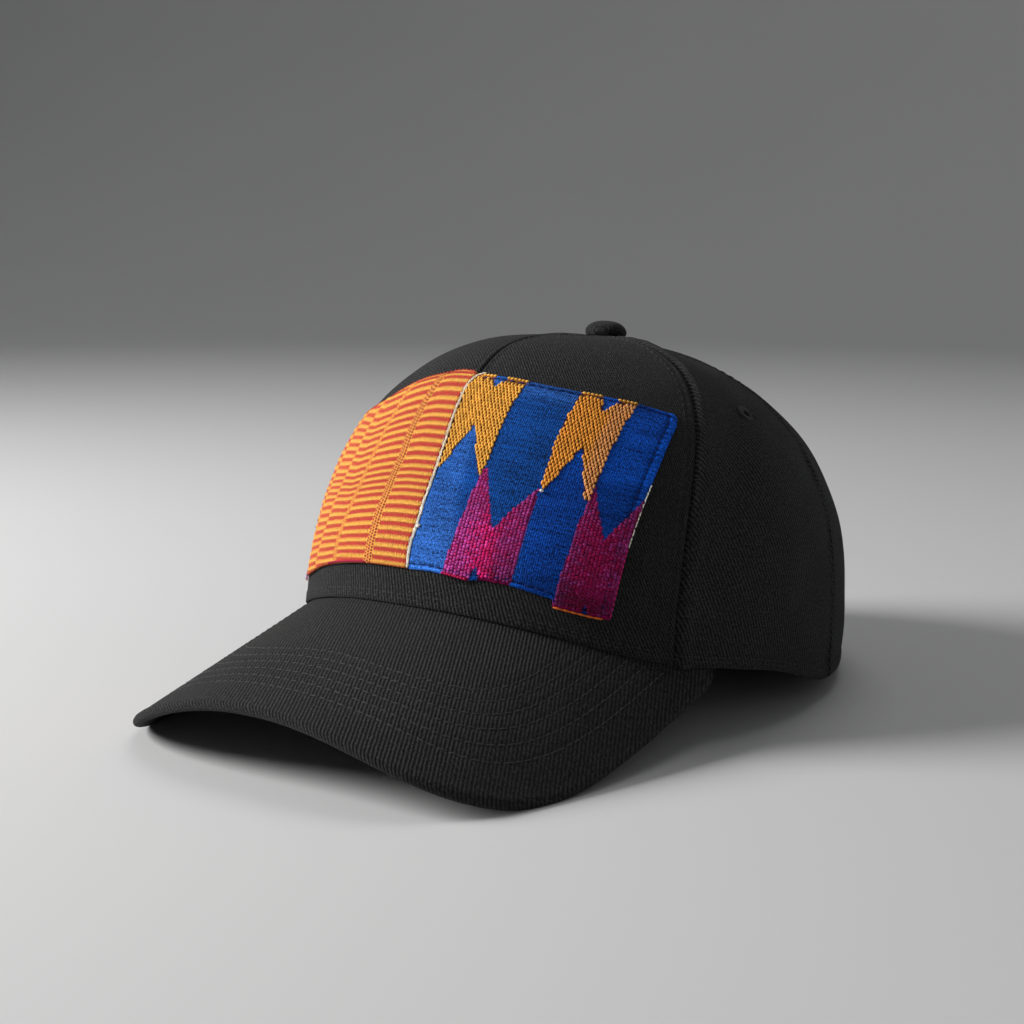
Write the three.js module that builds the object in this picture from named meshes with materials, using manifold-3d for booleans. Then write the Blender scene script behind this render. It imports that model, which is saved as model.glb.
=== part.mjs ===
// A structured six-panel baseball cap with a two-piece woven kente patch on its front panels.
// Millimetres, +Z up. The front faces -Y and +X is the wearer's left. The cap rests on a table at z = 0,
// on the rim at its back and the two lowest edges of its curved visor.
// The origin is on the table under the middle of the cap's box.
import * as THREE from 'three';
import { mergeVertices } from 'three/addons/utils/BufferGeometryUtils.js';
import Module from 'manifold-3d';

const wasm = await Module();
wasm.setup();

// Driving dimensions, in millimetres and degrees.
// Directions round the crown are angles from the front, positive towards the wearer's left.
const RIM = { halfWidth: 86.8, front: 94.2, back: 112.2 };
const APEX = { y: 12.7, height: 107.9 };
const WALL = 1.6;
const GAP = 0.35;
const FLATTENED = 0.5;

// How a meridian runs from the rim to the top: pull draws it in, rise lifts it, bulge swells it outwards.
const MERIDIANS = {
  front: { pull: 0.453, rise: 0.917, bulge: -0.102 },
  side: { pull: 0.976, rise: 0.595, bulge: 0.003 },
  back: { pull: 1.33, rise: 1.114, bulge: 0.097 },
};

// Where the panels are sewn together: the direction at the rim and how far the seam bows on its way up.
const SEAMS = {
  centreFront: { direction: 0, bow: 0 },
  side: { direction: 55.8, bow: 12.3 },
  rear: { direction: 104, bow: 0 },
  centreBack: { direction: 180, bow: 0 },
};
const PANELS = [
  { name: 'front_panel', from: 'centreFront', to: 'side', columns: 9 },
  { name: 'side_panel', from: 'side', to: 'rear', columns: 8 },
  { name: 'back_panel', from: 'rear', to: 'centreBack', columns: 11 },
];
const PANEL_ROWS = 17;
// The cloth turns in along each seam, over no more than a share of the panel's width.
const SEAM_ROLL = { width: 1.8, depth: 0.5, mostOfPanel: 0.12 };
// The soft dip in the side panel behind its front seam.
const DIP = { behind: 13, width: 6.5, depth: 1.8, height: 0.55, reach: 0.34 };
const BUTTON_HOLE = 3.2;

const VISOR = {
  end: 65.6, halfWidth: 81.6, length: 64.1, squareness: 3.48, narrowsFrom: 0.55,
  rise: 24.8, drop: 36.3, bend: 2.22, slope: 19.1, droop: 3.4, thickness: 3, tuck: 1.5, blunt: 3,
  round: { width: 1.2, depth: 0.8 }, columns: 36, rows: 6,
};
// The rim settles to level over this many degrees behind the visor's ends.
const RIM_SETTLES_OVER = 37;

// In front the sweatband reaches below the rim and over the visor's sewn edge.
// Elsewhere it ends above the rim.
const SWEATBAND = {
  height: 28, thickness: 1, clearance: 0.8, below: 3, above: 0.8, climbsOver: 12, columns: 60,
};
const SWEATBAND_LEVELS = [0, 0.17, 0.45, 0.73, 1];

// One half of the patch, measured across from the centre front and up from the rim.
const PATCH = {
  width: 65, bottom: 10.2, top: 78, thickness: 1, seam: 0.25,
  round: { width: 1, depth: 0.45 }, columns: 10, rows: 10,
};
const EYELETS = [
  { name: 'eyelet_side', direction: 84.5, height: 85.5 },
  { name: 'eyelet_back', direction: 142, height: 85.5 },
];
const EYELET = { hole: 1.5, thread: 3.7, proud: 0.5, play: 0.35, soft: 0.6, sides: 14 };
const BUTTON = {
  radius: 7.1, height: 5.6, shoulder: 0.3, underside: 0.93, stem: 2.5, stemLength: 5, sides: 20, rings: 5,
};

const CLOTH = new THREE.MeshStandardMaterial({ color: 0x1c1c1b, roughness: 0.92, metalness: 0 });
const BAND_CLOTH = new THREE.MeshStandardMaterial({ color: 0x171717, roughness: 0.95, metalness: 0 });
const STRIPED_KENTE = new THREE.MeshStandardMaterial({ color: 0xd9782a, roughness: 0.8, metalness: 0 });
const ZIGZAG_KENTE = new THREE.MeshStandardMaterial({ color: 0x1d3f8f, roughness: 0.8, metalness: 0 });

const smoothstep = (t) => THREE.MathUtils.smoothstep(t, 0, 1);
const radians = THREE.MathUtils.degToRad;

// The plan outline of the rim: two half-ellipses that share their width.
function rimPoint(direction) {
  const a = radians(direction);
  const length = Math.cos(a) > 0 ? RIM.front : RIM.back;
  return new THREE.Vector2(RIM.halfWidth * Math.sin(a), -length * Math.cos(a));
}

// The plan point that lies inset millimetres inside the rim's outline.
function rimInset(direction, inset) {
  const here = rimPoint(direction);
  const along = rimPoint(direction + 0.5).sub(rimPoint(direction - 0.5)).normalize();
  return here.add(new THREE.Vector2(-along.y, along.x).multiplyScalar(inset));
}

// The height of the visor's bent sheet over a plan point. It slopes down forwards and drops to both sides.
function visorHeight(x, y) {
  const drop = VISOR.drop * (Math.abs(x) / VISOR.halfWidth) ** VISOR.bend;
  return VISOR.rise - drop + Math.tan(radians(VISOR.slope)) * (y + RIM.front);
}

// The rim follows the visor in front and settles to level behind its ends.
function seatHeight(direction, plan) {
  const behind = (Math.abs(direction) - VISOR.end) / RIM_SETTLES_OVER;
  return (1 - smoothstep(behind)) * visorHeight(plan.x, Math.min(plan.y, APEX.y));
}

// A value of the meridian table in any direction, from its front, side and back rows.
function meridianValue(direction, key) {
  const a = radians(direction);
  const { front, side, back } = MERIDIANS;
  const mean = (front[key] + back[key] + 2 * side[key]) / 4;
  const lengthwise = (front[key] - back[key]) / 2;
  const crosswise = (front[key] + back[key] - 2 * side[key]) / 4;
  return mean + lengthwise * Math.cos(a) + crosswise * Math.cos(2 * a);
}

function meridianPoint(direction, angle) {
  const pull = meridianValue(direction, 'pull');
  const rise = meridianValue(direction, 'rise');
  const bulge = meridianValue(direction, 'bulge');
  const out = Math.max(Math.cos(angle), 0) ** pull + bulge * Math.sin(2 * angle);
  const up = Math.max(Math.sin(angle), 0) ** rise;
  const rim = rimPoint(direction);
  const foot = seatHeight(direction, rim);
  return new THREE.Vector3(rim.x * out, APEX.y * (1 - out) + rim.y * out, foot * (1 - up) + APEX.height * up);
}

// Meridians by direction, each a curve walked by its length.
// Their steps shrink towards the top, where the curve turns fastest.
const MERIDIAN_STEPS = 240;
const STEP_SHRINK = 2.5;
const meridianCache = new Map();
function meridian(direction) {
  const key = direction.toFixed(4);
  if (!meridianCache.has(key)) {
    const points = [];
    const lengths = [0];
    for (let i = 0; i <= MERIDIAN_STEPS; i++) {
      const angle = (Math.PI / 2) * (1 - (1 - i / MERIDIAN_STEPS) ** STEP_SHRINK);
      points.push(meridianPoint(direction, angle));
      if (i > 0) lengths.push(lengths[i - 1] + points[i].distanceTo(points[i - 1]));
    }
    meridianCache.set(key, { points, lengths, total: lengths[MERIDIAN_STEPS] });
  }
  return meridianCache.get(key);
}

// The point a given share of the way up a meridian, before dips.
function basePoint(direction, share) {
  const { points, lengths, total } = meridian(direction);
  const wanted = THREE.MathUtils.clamp(share, 0, 1) * total;
  let i = 1;
  while (i < MERIDIAN_STEPS && lengths[i] < wanted) i++;
  const t = (wanted - lengths[i - 1]) / Math.max(lengths[i] - lengths[i - 1], 1e-9);
  return points[i - 1].clone().lerp(points[i], Math.min(t, 1));
}

function seamDirection(name, share) {
  return SEAMS[name].direction + SEAMS[name].bow * Math.sin(Math.PI * share ** 2);
}

function crownNormal(direction, share) {
  const turn = 0.4;
  const climb = 0.004;
  const low = Math.max(share - climb, 0);
  const high = Math.min(share + climb, 1);
  const across = basePoint(direction + turn, share).sub(basePoint(direction - turn, share));
  const upwards = basePoint(direction, high).sub(basePoint(direction, low));
  return across.cross(upwards).normalize();
}

function dipDepth(direction, share) {
  const seam = seamDirection('side', share);
  const behind = radians(Math.abs(direction) - seam) * RIM.halfWidth * Math.cos((share * Math.PI) / 2);
  if (behind < 0) return 0;
  const across = Math.exp(-(((behind - DIP.behind) / DIP.width) ** 2));
  const along = Math.exp(-(((share - DIP.height) / DIP.reach) ** 2));
  return DIP.depth * across * along;
}

// The crown's outer surface, moved outwards by offset.
function crownPoint(direction, share, offset = 0) {
  const outwards = offset - dipDepth(direction, share);
  return basePoint(direction, share).addScaledVector(crownNormal(direction, share), outwards);
}

// A closed solid between two grids of points, one outside and one inside, that share columns and rows.
function sheetBetween(columns, rows, outerAt, innerAt, closedRound = false) {
  const across = closedRound ? columns : columns + 1;
  const positions = [];
  for (const at of [outerAt, innerAt]) {
    for (let j = 0; j <= rows; j++) {
      for (let i = 0; i < across; i++) positions.push(...at(i, j).toArray());
    }
  }
  const layer = across * (rows + 1);
  const outer = (i, j) => j * across + (i % across);
  const inner = (i, j) => layer + outer(i, j);
  const triangles = [];
  const quad = (a, b, c, d) => triangles.push(a, b, c, a, c, d);
  for (let j = 0; j < rows; j++) {
    for (let i = 0; i < columns; i++) {
      quad(outer(i, j), outer(i + 1, j), outer(i + 1, j + 1), outer(i, j + 1));
      quad(inner(i, j), inner(i, j + 1), inner(i + 1, j + 1), inner(i + 1, j));
    }
  }
  for (let i = 0; i < columns; i++) {
    quad(inner(i, 0), inner(i + 1, 0), outer(i + 1, 0), outer(i, 0));
    quad(outer(i, rows), outer(i + 1, rows), inner(i + 1, rows), inner(i, rows));
  }
  for (let j = 0; j < rows && !closedRound; j++) {
    quad(inner(0, j), outer(0, j), outer(0, j + 1), inner(0, j + 1));
    quad(outer(columns, j), inner(columns, j), inner(columns, j + 1), outer(columns, j + 1));
  }
  const geometry = new THREE.BufferGeometry();
  geometry.setAttribute('position', new THREE.Float32BufferAttribute(positions, 3));
  geometry.setIndex(triangles);
  return geometry;
}

// The wearer's right is the left's mirror image, with each triangle turned round again.
function mirrored(geometry) {
  const copy = geometry.clone().scale(-1, 1, 1);
  const index = copy.index.array;
  for (let i = 0; i < index.length; i += 3) [index[i + 1], index[i + 2]] = [index[i + 2], index[i + 1]];
  return copy;
}

function asSolid(geometry) {
  const bare = geometry.clone();
  for (const name of Object.keys(bare.attributes)) if (name !== 'position') bare.deleteAttribute(name);
  const merged = mergeVertices(bare, 1e-4);
  const vertProperties = merged.attributes.position.array;
  const triVerts = new Uint32Array(merged.index.array);
  return new wasm.Manifold(new wasm.Mesh({ numProp: 3, vertProperties, triVerts }));
}

function asGeometry(solid) {
  const { vertProperties, triVerts } = solid.getMesh();
  const geometry = new THREE.BufferGeometry();
  geometry.setAttribute('position', new THREE.Float32BufferAttribute(vertProperties, 3));
  return geometry.setIndex(Array.from(triVerts));
}

// Column places from 0 to 1 across a sheet, with one column close to each edge for its rolled seam.
function columnPlaces(columns, edge) {
  const places = [0];
  for (let i = 0; i <= columns - 2; i++) places.push(edge + (i * (1 - 2 * edge)) / (columns - 2));
  return [...places, 1];
}

// The distance round the crown between two directions at one height.
function widthBetween(from, to, share) {
  let width = 0;
  const pieces = 12;
  for (let i = 0; i < pieces; i++) {
    const a = from + ((to - from) * i) / pieces;
    const b = from + ((to - from) * (i + 1)) / pieces;
    width += basePoint(a, share).distanceTo(basePoint(b, share));
  }
  return width;
}

// One cloth panel of the crown, from seam to seam and from the rim to the hole under the button.
function panelGeometry({ from, to, columns }) {
  const grid = (offset, edgeOffset) => (i, j) => {
    const topShare = 1 - BUTTON_HOLE / meridian(90).total;
    const share = (topShare * j) / PANEL_ROWS;
    const left = seamDirection(from, share);
    const right = seamDirection(to, share);
    const width = Math.max(widthBetween(left, right, share), 1);
    const trim = GAP / 2 / width;
    const place = columnPlaces(columns, Math.min(SEAM_ROLL.width / width, SEAM_ROLL.mostOfPanel))[i];
    const direction = left + (right - left) * (trim + place * (1 - 2 * trim));
    const rolled = offset + (i === 0 || i === columns ? edgeOffset : 0);
    return j === 0 ? rimEdge(direction, rolled) : crownPoint(direction, share, rolled);
  };
  return sheetBetween(columns, PANEL_ROWS, grid(0, -SEAM_ROLL.depth), grid(-WALL, 0));
}

// The panel's lowest edge lies on the seat of the visor.
function rimEdge(direction, offset) {
  const plan = rimInset(direction, -offset);
  return new THREE.Vector3(plan.x, plan.y, seatHeight(direction, plan));
}

// The frame of a small round thing sewn into the crown: its axis stands square to the cloth.
function placeOnCrown(direction, height) {
  const share = height / meridian(direction).total;
  const up = new THREE.Vector3(0, 0, 1);
  const turn = new THREE.Quaternion().setFromUnitVectors(up, crownNormal(direction, share));
  return new THREE.Matrix4().compose(crownPoint(direction, share), turn, new THREE.Vector3(1, 1, 1));
}

// LatheGeometry turns about Y, so its result is laid over to turn about Z.
function turned(profile, sides) {
  const points = profile.map(([radius, height]) => new THREE.Vector2(radius, height));
  const lathe = new THREE.LatheGeometry(points, sides).deleteAttribute('uv').deleteAttribute('normal');
  return mergeVertices(lathe, 1e-4).rotateX(Math.PI / 2);
}

function holeFor({ direction, height }) {
  const radius = EYELET.thread + EYELET.play;
  const hole = new THREE.CylinderGeometry(radius, radius, 8 * WALL, EYELET.sides);
  return asSolid(hole.rotateX(Math.PI / 2).applyMatrix4(placeOnCrown(direction, height)));
}

// The embroidered ring round a ventilation hole.
function eyeletGeometry({ direction, height }) {
  const { hole, thread, soft } = EYELET;
  const top = EYELET.proud;
  const bottom = -WALL - EYELET.proud;
  const profile = [
    [hole, bottom + soft], [hole + soft, bottom], [thread - soft, bottom], [thread, bottom + soft],
    [thread, top - soft], [thread - soft, top], [hole + soft, top], [hole, top - soft], [hole, bottom + soft],
  ];
  return turned(profile, EYELET.sides).applyMatrix4(placeOnCrown(direction, height));
}

// The visor's outer edge in plan, a rounded rectangle walked by its length from the right end to the left.
const VISOR_EDGE = (() => {
  const end = rimPoint(VISOR.end);
  const reach = VISOR.length + RIM.front + end.y;
  const power = 2 / VISOR.squareness;
  const points = [];
  for (let i = 0; i <= 400; i++) {
    const turn = -1 + (2 * i) / 400;
    const a = radians(90 * turn);
    const narrowing = smoothstep((Math.abs(turn) - VISOR.narrowsFrom) / (1 - VISOR.narrowsFrom));
    const wide = VISOR.halfWidth * Math.abs(Math.sin(a)) ** power - (VISOR.halfWidth - end.x) * narrowing;
    points.push(new THREE.Vector2(Math.sign(turn) * wide, end.y - reach * Math.abs(Math.cos(a)) ** power));
  }
  const lengths = [0];
  for (let i = 1; i < points.length; i++) lengths.push(lengths[i - 1] + points[i].distanceTo(points[i - 1]));
  return { points, lengths, total: lengths.at(-1) };
})();

function visorEdgePoint(across) {
  const { points, lengths, total } = VISOR_EDGE;
  const wanted = VISOR.blunt + ((across + 1) / 2) * (total - 2 * VISOR.blunt);
  let i = 1;
  while (i < lengths.length - 1 && lengths[i] < wanted) i++;
  return points[i - 1].clone().lerp(points[i], (wanted - lengths[i - 1]) / (lengths[i] - lengths[i - 1]));
}

// A point of the visor's sheet: across runs from -1 to 1, out from 0 at the crown to 1 at the edge.
// Its thickness is cut upright where it is sewn in and square to the sheet at its free edge.
function visorPoint(across, out, below) {
  const plan = rimInset(across * VISOR.end, VISOR.tuck).lerp(visorEdgePoint(across), out);
  const step = 0.5;
  const slopeX = (visorHeight(plan.x + step, plan.y) - visorHeight(plan.x - step, plan.y)) / (2 * step);
  const normal = new THREE.Vector3(-slopeX, -Math.tan(radians(VISOR.slope)), 1).normalize();
  const upright = new THREE.Vector3(0, 0, 1 / normal.z);
  const direction = upright.lerp(normal, out);
  const height = visorHeight(plan.x, plan.y) - VISOR.droop * out * (Math.abs(plan.x) / VISOR.halfWidth) ** 3;
  return new THREE.Vector3(plan.x, plan.y, height).addScaledVector(direction, -GAP - below);
}

function visorGeometry() {
  const { columns, rows } = VISOR;
  const grid = (below, tuckedIn) => (i, j) => {
    const across = -1 + (2 * i) / columns;
    const length = rimInset(across * VISOR.end, VISOR.tuck).distanceTo(visorEdgePoint(across));
    const lastRow = 1 - VISOR.round.width / Math.max(length, 2 * VISOR.round.width);
    const out = j === rows ? 1 : (lastRow * j) / (rows - 1);
    return visorPoint(across, out, below + (j === rows ? tuckedIn : 0));
  };
  const { depth } = VISOR.round;
  // Rows run outwards here, so the outer grid of a standing sheet is this one's underside.
  return sheetBetween(columns, rows, grid(VISOR.thickness, -depth), grid(0, depth));
}

// The folded band inside the rim. In front it reaches down over the visor's sewn edge.
function sweatbandGeometry() {
  const { columns } = SWEATBAND;
  const grid = (depth) => (i, j) => {
    const direction = -180 + (360 * i) / columns;
    const share = (SWEATBAND_LEVELS[j] * SWEATBAND.height) / meridian(direction).total;
    if (j > 0) return crownPoint(direction, share, -depth);
    const plan = rimInset(direction, depth);
    const front = 1 - smoothstep((Math.abs(direction) - VISOR.end) / SWEATBAND.climbsOver);
    const lift = THREE.MathUtils.lerp(SWEATBAND.above, -SWEATBAND.below, front);
    return new THREE.Vector3(plan.x, plan.y, seatHeight(direction, plan) + lift);
  };
  const outside = WALL + SWEATBAND.clearance;
  const rows = SWEATBAND_LEVELS.length - 1;
  return sheetBetween(columns, rows, grid(outside), grid(outside + SWEATBAND.thickness), true);
}

// The direction that lies a given distance round the crown from the centre front, at one height.
function directionAtDistance(distance, height) {
  let low = 0;
  let high = 90;
  while (high - low > 1e-5) {
    const middle = (low + high) / 2;
    const share = height / meridian(middle).total;
    if (widthBetween(0, middle, share) < distance) low = middle;
    else high = middle;
  }
  return (low + high) / 2;
}

// One half of the kente patch, on the wearer's left: a rectangle of cloth laid over the front panel.
function patchGeometry() {
  const { width, bottom, top, seam, round, thickness, columns, rows } = PATCH;
  const places = columnPlaces(columns, round.width / width);
  const levels = columnPlaces(rows, round.width / (top - bottom));
  const grid = (offset, edgeDrop) => (i, j) => {
    const height = bottom + (top - bottom) * levels[j];
    const distance = seam + (width - seam) * places[i];
    const direction = directionAtDistance(distance, height);
    const atEdge = i === 0 || i === columns || j === 0 || j === rows;
    return crownPoint(direction, height / meridian(direction).total, offset - (atEdge ? edgeDrop : 0));
  };
  return sheetBetween(columns, rows, grid(GAP + thickness, round.depth), grid(GAP, 0));
}

// The cloth-covered button on the top, with its stem through the panels' meeting point.
function buttonGeometry() {
  const { radius, height, stem, stemLength, rings } = BUTTON;
  const shoulder = BUTTON.shoulder * height;
  const profile = [[0, -stemLength], [stem, -stemLength], [stem, GAP], [radius * BUTTON.underside, GAP]];
  for (let i = 0; i < rings; i++) {
    const a = (Math.PI / 2) * (i / rings);
    profile.push([radius * Math.cos(a), shoulder + (height - shoulder) * Math.sin(a)]);
  }
  profile.push([0, height]);
  return turned(profile, BUTTON.sides).translate(0, APEX.y, APEX.height);
}

// The tilt at which the back of the rim and the visor's lowest points are level with each other.
function restingTilt(visor) {
  const position = visor.attributes.position;
  const visorPoints = [];
  for (let i = 0; i < position.count; i++) {
    visorPoints.push(new THREE.Vector3().fromBufferAttribute(position, i));
  }
  const rimPoints = [];
  for (let direction = 90; direction <= 180; direction += 3) rimPoints.push(rimEdge(direction, 0));
  const lowest = (points, tilt) => Math.min(...points.map((point) => tiltedPoint(point, tilt).z));
  let low = 0;
  let high = 20;
  while (high - low > 1e-6) {
    const middle = (low + high) / 2;
    if (lowest(visorPoints, middle) < lowest(rimPoints, middle)) low = middle;
    else high = middle;
  }
  return { tilt: low, floor: lowest(rimPoints, low) };
}

function tiltedPoint(point, tilt) {
  return point.clone().applyAxisAngle(new THREE.Vector3(1, 0, 0), -radians(tilt));
}

// Lays a geometry at the cap's resting tilt, and flattens what would press into the table.
const VISOR_SHEET = visorGeometry();
const REST = restingTilt(VISOR_SHEET);
function settled(geometry) {
  const copy = geometry.clone();
  const position = copy.attributes.position;
  for (let i = 0; i < position.count; i++) {
    const point = tiltedPoint(new THREE.Vector3().fromBufferAttribute(position, i), REST.tilt);
    const z = Math.max(point.z - REST.floor - FLATTENED, 0);
    position.setXYZ(i, point.x, point.y, z);
  }
  return copy;
}

const cap = new THREE.Group();

function add(name, geometry, material) {
  const mesh = new THREE.Mesh(settled(geometry), material);
  mesh.name = name;
  cap.add(mesh);
}

function addPair(name, geometry, material) {
  add(`${name}_left`, geometry, material);
  add(`${name}_right`, mirrored(geometry), material);
}

for (const panel of PANELS) {
  let solid = asSolid(panelGeometry(panel));
  for (const eyelet of EYELETS) {
    const afterStart = eyelet.direction > SEAMS[panel.from].direction;
    const beforeEnd = eyelet.direction < SEAMS[panel.to].direction;
    if (afterStart && beforeEnd) solid = solid.subtract(holeFor(eyelet));
  }
  addPair(panel.name, asGeometry(solid), CLOTH);
}
for (const eyelet of EYELETS) addPair(eyelet.name, eyeletGeometry(eyelet), CLOTH);
add('kente_zigzag', patchGeometry(), ZIGZAG_KENTE);
add('kente_stripes', mirrored(patchGeometry()), STRIPED_KENTE);
add('visor', VISOR_SHEET, CLOTH);
add('sweatband', sweatbandGeometry(), BAND_CLOTH);
add('top_button', buttonGeometry(), CLOTH);

// The origin is on the table under the middle of the cap's box.
const box = new THREE.Box3().setFromObject(cap);
const middle = box.getCenter(new THREE.Vector3());
cap.position.set(-middle.x, -middle.y, -box.min.z);

export default cap;
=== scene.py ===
# The looks of a baseball cap with a two-piece woven kente patch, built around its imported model.
# Shapes are worked out in millimetres in the cap's own frame, as in the model's source: the rim's plane is
# z = 0, the front faces -Y and +X is the wearer's left. Each piece is then laid at the cap's resting tilt.
import math

import bpy
import numpy as np
from mathutils import Matrix


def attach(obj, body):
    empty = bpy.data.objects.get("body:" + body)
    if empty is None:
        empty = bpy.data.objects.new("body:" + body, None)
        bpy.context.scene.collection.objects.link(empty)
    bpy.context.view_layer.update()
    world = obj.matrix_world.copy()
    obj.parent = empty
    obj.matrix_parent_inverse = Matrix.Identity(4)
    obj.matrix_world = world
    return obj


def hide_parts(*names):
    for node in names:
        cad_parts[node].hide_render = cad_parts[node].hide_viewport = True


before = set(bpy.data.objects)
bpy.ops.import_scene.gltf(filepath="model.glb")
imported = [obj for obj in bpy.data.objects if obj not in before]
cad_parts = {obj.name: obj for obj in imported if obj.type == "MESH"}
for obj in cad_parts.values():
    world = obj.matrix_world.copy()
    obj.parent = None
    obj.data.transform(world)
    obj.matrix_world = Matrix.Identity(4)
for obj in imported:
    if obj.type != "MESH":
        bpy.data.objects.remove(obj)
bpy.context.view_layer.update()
rng = np.random.default_rng(7)

# The named sizes of the model's source, in millimetres and degrees.
RIM_HALF_WIDTH = 86.8
RIM_FRONT = 94.2
RIM_BACK = 112.2
APEX_Y = 12.7
APEX_HEIGHT = 107.9
WALL = 1.6
GAP = 0.35
MERIDIANS = {
    "pull": {"front": 0.453, "side": 0.976, "back": 1.33},
    "rise": {"front": 0.917, "side": 0.595, "back": 1.114},
    "bulge": {"front": -0.102, "side": 0.003, "back": 0.097},
}
SEAMS = {
    "centre_front": {"direction": 0.0, "bow": 0.0},
    "side": {"direction": 55.8, "bow": 12.3},
    "rear": {"direction": 104.0, "bow": 0.0},
    "centre_back": {"direction": 180.0, "bow": 0.0},
}
DIP = {"behind": 13.0, "width": 6.5, "depth": 1.8, "height": 0.55, "reach": 0.34}
BUTTON_HOLE = 3.2
VISOR = {
    "end": 65.6, "half_width": 81.6, "length": 64.1, "squareness": 3.48, "narrows_from": 0.55,
    "rise": 24.8, "drop": 36.3, "bend": 2.22, "slope": 19.1, "droop": 3.4, "thickness": 3.0,
    "tuck": 1.5, "blunt": 3.0,
}
RIM_SETTLES_OVER = 37.0
SWEATBAND = {
    "height": 28.0, "thickness": 1.0, "clearance": 0.8, "below": 3.0, "above": 0.8, "climbs_over": 12.0,
}
EYELETS = {"eyelet_side": (84.5, 85.5), "eyelet_back": (142.0, 85.5)}
EYELET = {"hole": 1.5, "thread": 3.7, "proud": 0.5}
BUTTON = {"radius": 7.1, "height": 5.6, "shoulder": 0.3, "underside": 0.93}

# How the cap rests: tilted back about X, then moved so that the origin is under the middle of its box.
REST_TILT = 4.478734628
REST_DROP = 8.761594231
FLATTENED = 0.5
REST_SHIFT_Y = 21.495128632
MILLIMETRE = 0.001


def smoothstep(t):
    t = np.clip(t, 0.0, 1.0)
    return t * t * (3.0 - 2.0 * t)


def hill(x, centre, width):
    return np.exp(-(((x - centre) / width) ** 2))


def unit(vectors):
    return vectors / np.maximum(np.linalg.norm(vectors, axis=-1, keepdims=True), 1e-12)


def lengths_along(path):
    """How far along a path each of its points lies."""
    steps = np.linalg.norm(np.diff(path, axis=0), axis=-1)
    return np.concatenate([[0], np.cumsum(steps)])


def sampled(points, along, wanted):
    """The points of a path at the wanted lengths along it."""
    return np.stack([np.interp(wanted, along, column) for column in points.T], -1)


def settled(points):
    """Row-frame metres of cap-frame millimetres."""
    tilt = math.radians(REST_TILT)
    x, y, z = points[..., 0], points[..., 1], points[..., 2]
    laid_y = y * math.cos(tilt) + z * math.sin(tilt) + REST_SHIFT_Y
    laid_z = np.maximum(z * math.cos(tilt) - y * math.sin(tilt) + REST_DROP - FLATTENED, 0.0)
    return np.stack([x, laid_y, laid_z], -1) * MILLIMETRE


# The crown's form

def rim_point(direction):
    a = np.radians(direction)
    length = np.where(np.cos(a) > 0, RIM_FRONT, RIM_BACK)
    return np.stack([RIM_HALF_WIDTH * np.sin(a), -length * np.cos(a)], -1)


def rim_inset(direction, inset):
    along = unit(rim_point(direction + 0.5) - rim_point(direction - 0.5))
    inwards = np.stack([-along[..., 1], along[..., 0]], -1)
    return rim_point(direction) + inwards * np.asarray(inset)[..., None]


def visor_height(x, y):
    drop = VISOR["drop"] * (np.abs(x) / VISOR["half_width"]) ** VISOR["bend"]
    return VISOR["rise"] - drop + math.tan(math.radians(VISOR["slope"])) * (y + RIM_FRONT)


def seat_height(direction, plan):
    behind = (np.abs(direction) - VISOR["end"]) / RIM_SETTLES_OVER
    return (1.0 - smoothstep(behind)) * visor_height(plan[..., 0], np.minimum(plan[..., 1], APEX_Y))


def meridian_value(direction, key):
    a = np.radians(direction)
    row = MERIDIANS[key]
    front, side, back = row["front"], row["side"], row["back"]
    return (
        (front + back + 2 * side) / 4
        + (front - back) / 2 * np.cos(a)
        + (front + back - 2 * side) / 4 * np.cos(2 * a)
    )


# The crown is looked up by direction and by share of the way up. Each meridian is first drawn with steps that
# crowd towards the apex.
MERIDIAN_STEPS = 240
CROWDING = 2.5
TABLE_STEP = 0.5
TABLE_DIRECTIONS = np.arange(-2.0, 182.01, TABLE_STEP)
TABLE_SHARES = np.linspace(0.0, 1.0, 401)


def crown_table():
    """The crown's points by direction and share of the way up, and the length of each meridian."""
    direction = TABLE_DIRECTIONS[:, None]
    angle = (np.pi / 2) * (1 - (1 - np.linspace(0, 1, MERIDIAN_STEPS + 1)) ** CROWDING)[None, :]
    out = np.maximum(np.cos(angle), 0) ** meridian_value(direction, "pull")
    out = out + meridian_value(direction, "bulge") * np.sin(2 * angle)
    up = np.maximum(np.sin(angle), 0) ** meridian_value(direction, "rise")
    rim = rim_point(TABLE_DIRECTIONS)
    foot = seat_height(TABLE_DIRECTIONS, rim)[:, None]
    x = rim[:, :1] * out
    y = APEX_Y * (1 - out) + rim[:, 1:] * out
    z = foot * (1 - up) + APEX_HEIGHT * up
    table, lengths = [], []
    for meridian in np.stack([x, y, z], -1):
        along = lengths_along(meridian)
        table.append(sampled(meridian, along, TABLE_SHARES * along[-1]))
        lengths.append(along[-1])
    return np.array(table), np.array(lengths)


CROWN, MERIDIAN_LENGTHS = crown_table()
ACROSS = np.gradient(CROWN, TABLE_STEP, axis=0)
NORMALS = unit(np.cross(ACROSS, np.gradient(CROWN, axis=1)))
MM_PER_DEGREE = np.linalg.norm(ACROSS, axis=-1)


def between_entries(table, i, j):
    """A value of a table at places that need not be whole numbers."""
    i = np.clip(i, 0, table.shape[0] - 1.001)
    j = np.clip(j, 0, table.shape[1] - 1.001)
    i0, j0 = i.astype(int), j.astype(int)
    s, t = i - i0, j - j0
    if table.ndim == 3:
        s, t = s[..., None], t[..., None]
    low = table[i0, j0] * (1 - s) + table[i0 + 1, j0] * s
    high = table[i0, j0 + 1] * (1 - s) + table[i0 + 1, j0 + 1] * s
    return low * (1 - t) + high * t


def looked_up(table, direction, share):
    i = (direction - TABLE_DIRECTIONS[0]) / TABLE_STEP
    return between_entries(table, i, np.clip(share, 0, 1) * (len(TABLE_SHARES) - 1))


def meridian_length(direction):
    return np.interp(np.abs(direction), TABLE_DIRECTIONS, MERIDIAN_LENGTHS)


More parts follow.
